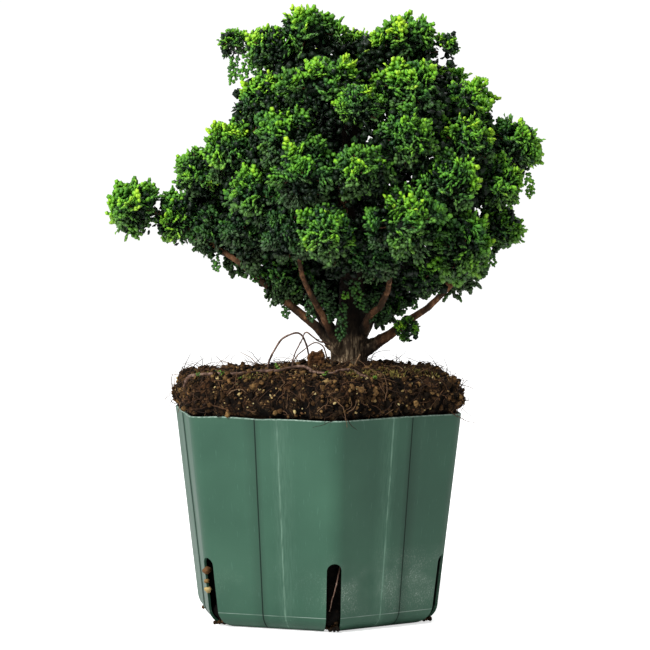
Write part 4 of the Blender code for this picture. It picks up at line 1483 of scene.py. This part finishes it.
moss, tree, shader = new_material("olive_moss", 0.9, Specular_IOR_Level=0.15)
shade = ramp(
    tree, value_of(tree, "tone"),
    (0.0, (0.04, 0.03, 0.008)), (0.6, (0.19, 0.15, 0.035)), (1.0, (0.4, 0.33, 0.09)),
)
speckled(
    tree, shader, shade, (0.05, 0.045, 0.01),
    grain=(260, 3), specks=(0.4, 0.6, 0.7), relief=(0.3, 0.3 * MM),
)
settle(moss_stems(np.random.default_rng(41)), "soil")

# %% Set the seedlings
SEEDLINGS = (  # x and y in mm, and the length of a leaf
    (-24, -20, 2.6), (-17, -24, 3.2), (-19, -12, 2.4), (-50, -28, 2.6), (-60, -30, 2.2),
    (-46, -36, 2.8), (5, -44, 2.6), (-38, -46, 2.0), (30, -58, 2.2),
)
SEEDLING_PLACES = 4000
LEAVES_EACH = 7
LEAF_SHAPE = (1, 0.8, 0.5)  # how the lobe is stretched into a leaf
HIGHER_IS_BETTER = 0.06  # how far off a place may be, in mm, for each mm that it lies higher


def seedlings(draw):
    """Rosettes of small leaves on the places nearest to those wanted."""
    places, _ = open_places(SEEDLING_PLACES, draw)
    leaves = []
    for x, y, size in SEEDLINGS:
        off = np.linalg.norm(places[:, :2] / MM - (x, y), axis=1)
        i = np.argmin(off - HIGHER_IS_BETTER * places[:, 2] / MM)
        for k in range(LEAVES_EACH):
            turn = Matrix.Rotation(GOLDEN * k, 3, "Z")
            rise = Matrix.Rotation(-math.radians(draw.uniform(15, 65)), 3, "Y")
            shape = LOBE_POINTS * LEAF_SHAPE * size * MM * draw.uniform(0.7, 1.1)
            foot = places[i] + (0, 0, draw.uniform(0.2, 2) * MM)
            leaves.append(shape @ np.array(turn @ rise).T + foot)
    count = len(leaves)
    return from_arrays(
        "soil_seedlings", np.concatenate(leaves), repeated(LOBE_TRIANGLES, LOBE_SIZE, count),
        weed, tone=np.repeat(draw.random(count), LOBE_SIZE),
    )


weed, tree, shader = new_material("seedling_green", 0.5, Specular_IOR_Level=0.3)
fresh = ramp(tree, value_of(tree, "tone"), (0.0, (0.05, 0.14, 0.015)), (1.0, (0.2, 0.36, 0.03)))
speckled(
    tree, shader, fresh, (0.04, 0.1, 0.012),
    grain=(900, 2), specks=(0.4, 0.6, 0.5), relief=(0.3, 0.3 * MM),
)
settle(seedlings(np.random.default_rng(42)), "soil")

# %% [markdown]
# ## Fine roots
#
# The felt of roots is drawn as thin tubes that wander over the soil. Each follows the surface
# for a centimetre or two, dips in and out, and thins to its tip.

# %% Root felt
SUNK = 0.3 * MM  # how deep the ends lie in the soil
HUG = 0.75  # how much a step away from the soil is turned back along it


def root_felt(name, count, length, radius, lift, material, seed, steps=9):
    """Thin roots that wander over the soil; length, radius and lift are ranges."""
    draw = np.random.default_rng(seed)
    places, normals = open_places(count, draw)
    way = unit(np.cross(normals, draw.normal(0, 1, normals.shape)))
    lengths = draw.uniform(*length, count)
    routes = [places]
    for _ in range(steps - 1):
        way = unit(way + draw.normal(0, 0.28, normals.shape))
        way = unit(way - HUG * normals * np.sum(way * normals, axis=1, keepdims=True))
        routes.append(routes[-1] + way * (lengths / steps)[:, None])
    arch = np.sin(np.linspace(0, np.pi, steps))[None, :, None]
    arch = arch * draw.uniform(*lift, count)[:, None, None]
    routes = np.stack(routes, axis=1) + normals[:, None] * (arch - SUNK)
    taper = np.linspace(1, 0.35, steps)[None] * draw.uniform(*radius, count)[:, None]
    points, triangles = tubes(routes, taper, 3)
    tones = np.repeat(draw.random(count), len(points) // count)
    return from_arrays(name, points, triangles, material, tone=tones)


fibre, tree, shader = new_material("fine_root", 0.8, Specular_IOR_Level=0.2)
shade = ramp(
    tree, value_of(tree, "tone"),
    (0.0, (0.012, 0.006, 0.003)), (0.5, (0.06, 0.026, 0.011)),
    (0.85, (0.15, 0.075, 0.034)), (1.0, (0.28, 0.17, 0.09)),
)
speckled(
    tree, shader, shade, (0.02, 0.01, 0.005),
    grain=(700, 4), specks=(0.35, 0.65, 0.6), relief=(0.5, 0.3 * MM),
)
felt = root_felt(
    "root_felt", 1000, length=(7 * MM, 20 * MM), radius=(0.16 * MM, 0.34 * MM),
    lift=(0.3 * MM, 2 * MM), material=fibre, seed=31,
)
settle(felt, "root")
hairs = root_felt(
    "standing_hairs", 30, length=(9 * MM, 18 * MM), radius=(0.2 * MM, 0.32 * MM),
    lift=(1.5 * MM, 5 * MM), material=fibre, seed=32,
)
settle(hairs, "root")

# %% [markdown]
# ## The long root and the loops
#
# One root lies in waves along the front of the soil. Left of the trunk, old roots that the
# weather has washed bare stand up in loops. Their solids have few corners, so a smooth curve
# is laid through the same points and a round tube along it.

# %% Make the bare roots
ARCHING_ROOT = (  # x, y and z in mm, as in the part's source
    (-27, -2, 124), (-24, -3, 135), (-20, -3, 143), (-14, -4, 148), (-8, -4, 148), (-4, 0, 138),
    (-3, 2, 124),
)
OLD_LOOPS = (  # the points of each in mm, and its radius at the trunk
    (((12, 1, 141), (5, -2, 143.7), (2, -3, 144.3), (-2, -4, 147), (-5.5, -4, 149),
      (-8, -5, 144), (-12, -6, 135), (-13, -7, 125)), 0.5),
    (((12, 0, 131), (5.5, -4, 136.5), (3.6, -5, 142), (-1.5, -6, 143.8), (-7.7, -8, 139),
      (-11, -9, 135.5), (-14, -10, 125)), 0.42),
)
THIN_END = 0.6  # the end of a root over its start
ROOT_STEPS = 96
ROOT_SIDES = 8
KINK, KINK_LENGTH = 0.35 * MM, 4 * MM
KINK_STARTS = (  # where the noise for x, y and z starts, so that they don't move together
    Vector((0, 0, 0)), Vector((31.4, 0, 0)), Vector((0, 31.4, 0)),
)


def bare_root(points, thick, thin, draw):
    """A smooth route with small kinks, and its radius from end to end, in metres."""
    route = curved(points, ROOT_STEPS) * MM
    places = [Vector(spot) / KINK_LENGTH for spot in route]
    kinks = np.array([[noise.noise(place + start) for start in KINK_STARTS] for place in places])
    radii = np.linspace(thick, thin, ROOT_STEPS) * MM * draw.uniform(0.85, 1.15, ROOT_STEPS)
    return route + KINK * kinks, radii


def root_piece(name, *roots):
    """Round tubes along the routes of bare roots, as one piece."""
    routes, radii = (np.array(values) for values in zip(*roots))
    return from_arrays(name, *tubes(routes, radii, ROOT_SIDES), root_skin)


root_skin, tree, shader = new_material("loose_root", 0.75, Specular_IOR_Level=0.2)
grain = bark_grain(tree, 350, 350, 5)
mauve = ramp(
    tree, grain,
    (0.32, (0.03, 0.016, 0.011)), (0.5, (0.115, 0.066, 0.047)), (0.7, (0.25, 0.165, 0.125)),
)
tree.links.new(mauve, shader.inputs["Base Color"])
bump(tree, shader, grain, 0.5, 0.5 * MM)
draw = np.random.default_rng(51)
arching = bare_root(ARCHING_ROOT, 0.6, 0.45, draw)
settle(root_piece("fine_arching_root", arching), "root", "arching_root")
loops = [bare_root(points, thick, THIN_END * thick, draw) for points, thick in OLD_LOOPS]
settle(root_piece("old_root_loops", *loops), "bark")

# %% Lean a straw on the trunk
STRAW = ((19.2, -15.5, 129), (20.4, -16.5, 133.5), (22.8, -17.5, 138.5))  # x, y and z in mm
STRAW_STEPS = 8
STRAW_SIDES = 6

route = curved(STRAW, STRAW_STEPS) * MM
radii = np.linspace(0.5, 0.38, STRAW_STEPS) * MM
points, triangles = tubes(route[None], radii[None], STRAW_SIDES)
settle(from_arrays("dry_straw", points, triangles, fibre, tone=np.ones(len(points))), "root")

# %% Lay the long root
LONG_ROOT = (  # x and y in mm, and how far the root arches over the soil
    (-68, -19, -2), (-65, -23, 1), (-52, -30, 1.2), (-42, -35, 0.6), (-35, -27, 2.4),
    (-29, -21, 3.4), (-21, -27, 1), (-13, -21, 3), (-6, -21, 2.6), (-1, -33, 0.8),
    (7, -40, 0.5), (12, -34, 0.8), (18, -36, 1.3), (23, -46, 0.6), (26, -54, 0), (25, -60, -3),
)
LONG_ROOT_RADIUS = 1.05
ABOVE_ALL = 200  # a height in mm from which one looks down on the soil

solid = frame["nodes"]["soil"].data
ground = BVHTree.FromPolygons(
    [vert.co for vert in solid.vertices], [face.vertices for face in solid.polygons]
)


def over_ground(x, y, lift):
    """A point so far over the plain soil, in mm."""
    hit = ground.ray_cast(Vector((x, y, ABOVE_ALL)) * MM, Vector((0, 0, -1)))[0]
    return x, y, hit.z / MM + lift + 0.5 * LONG_ROOT_RADIUS


long_route = [over_ground(*spot) for spot in LONG_ROOT]
print("long root:", [round(z, 1) for _, _, z in long_route])
long_root = bare_root(long_route, LONG_ROOT_RADIUS, THIN_END * LONG_ROOT_RADIUS, draw)
settle(root_piece("wavy_surface_root", long_root), "root", "surface_root")

# %% [markdown]
# ## In the slits
#
# The slits are dark inside. At their feet crumbs have washed out, a pale root crosses the front
# one, and in the left one a chunk of bark and a pebble show.

# %% Put crumbs in the slits
SLIT_CRUMBS = 16
LOW_CRUMB_HEIGHT, LOW_CRUMB_SIZE = 1.8, 1.15  # in mm, for those that lie on the pot's floor
LEFT_SLIT_STONES = (  # x, y, z and size in mm
    (-56, -38.5, 29, 2.6), (-55.5, -37.5, 19, 2.4), (-56, -38, 23.5, 1.7),
)


def stones_at(name, spots, sizes, material, seed, tones):
    """Uneven stones at the places given."""
    draw = np.random.default_rng(seed)
    stones = []
    for spot, size in zip(spots, sizes):
        offset = np.array(spot) * 3000
        rough = np.array([1 + 0.5 * noise.noise(Vector(p * 1.6 + offset)) for p in BALL_POINTS])
        stones.append(BALL_POINTS * rough[:, None] * draw.uniform(0.6, 1.05, 3) * size + spot)
    triangles = repeated(BALL_TRIANGLES, len(BALL_POINTS), len(stones))
    tones = np.repeat(tones, len(BALL_POINTS))
    return from_arrays(name, np.concatenate(stones), triangles, material, tone=tones)


draw = np.random.default_rng(61)
spots, low = [], []
for side in range(6):
    outward = np.array(heading(corner_angle(side)))
    across = np.cross(UP, outward)
    for _ in range(SLIT_CRUMBS):
        reach, aside, z = draw.uniform(54, 62), draw.uniform(-2.6, 2.6), draw.uniform(1.6, 6.5)
        spots.append((outward * reach + across * aside + UP * z) * MM)
        low.append(False)
    for _ in range(SLIT_CRUMBS // 2):
        reach, aside = draw.uniform(59, 64.5), draw.uniform(-3, 3)
        spots.append((outward * reach + across * aside + UP * LOW_CRUMB_HEIGHT) * MM)
        low.append(True)
sizes = np.where(low, LOW_CRUMB_SIZE, draw.uniform(1, 1.6, len(spots))) * MM
tones = draw.uniform(0, 0.8, len(spots))
settle(stones_at("slit_crumbs", spots, sizes, crumb, 62, tones), "soil")
bits = np.array(LEFT_SLIT_STONES) * MM
tones = np.array((0.15, 0.85, 0.5))
settle(stones_at("slit_stones", bits[:, :3], bits[:, 3], grit, 63, tones), "soil")

# %% Lay a root in the front slit
SLIT_ROOT = (  # x, y and z in mm
    (12.5, -61, 35), (11.6, -64.5, 30.5), (9.9, -65.5, 23), (8.1, -65, 16.5), (6.5, -62, 10),
)

settle(root_piece("slit_root", bare_root(SLIT_ROOT, 0.4, 0.26, draw)), "root")

# %% [markdown]
# ## The bark flake
#
# A flake of orange bark stands in the soil beside the trunk. Its plain solid has sharp edges,
# so it is remeshed as the wood was, roughened, and given the same grain in a warmer colour.

# %% Roughen the flake
def flake_relief(spot):
    """Coarse and fine dents of broken bark."""
    coarse = 0.35 * noise.noise(spot / (1.3 * MM))
    return (coarse + 0.2 * noise.noise(spot / (0.6 * MM))) * MM


chip = remeshed("bark_chip", "orange_bark_flake", 0.3 * MM, 3)
raise_relief(chip, flake_relief)
flake, tree, shader = new_material("orange_bark", 0.9, Specular_IOR_Level=0.15)
grain = bark_grain(tree, 900, 250, 5)
orange = ramp(
    tree, grain,
    (0.35, (0.015, 0.007, 0.003)), (0.55, (0.09, 0.04, 0.015)), (0.75, (0.24, 0.12, 0.045)),
)
tree.links.new(orange, shader.inputs["Base Color"])
bump(tree, shader, grain, 0.7, 0.5 * MM)
chip.data.materials.append(flake)
settle(chip, "bark_chip", "bark_chip")
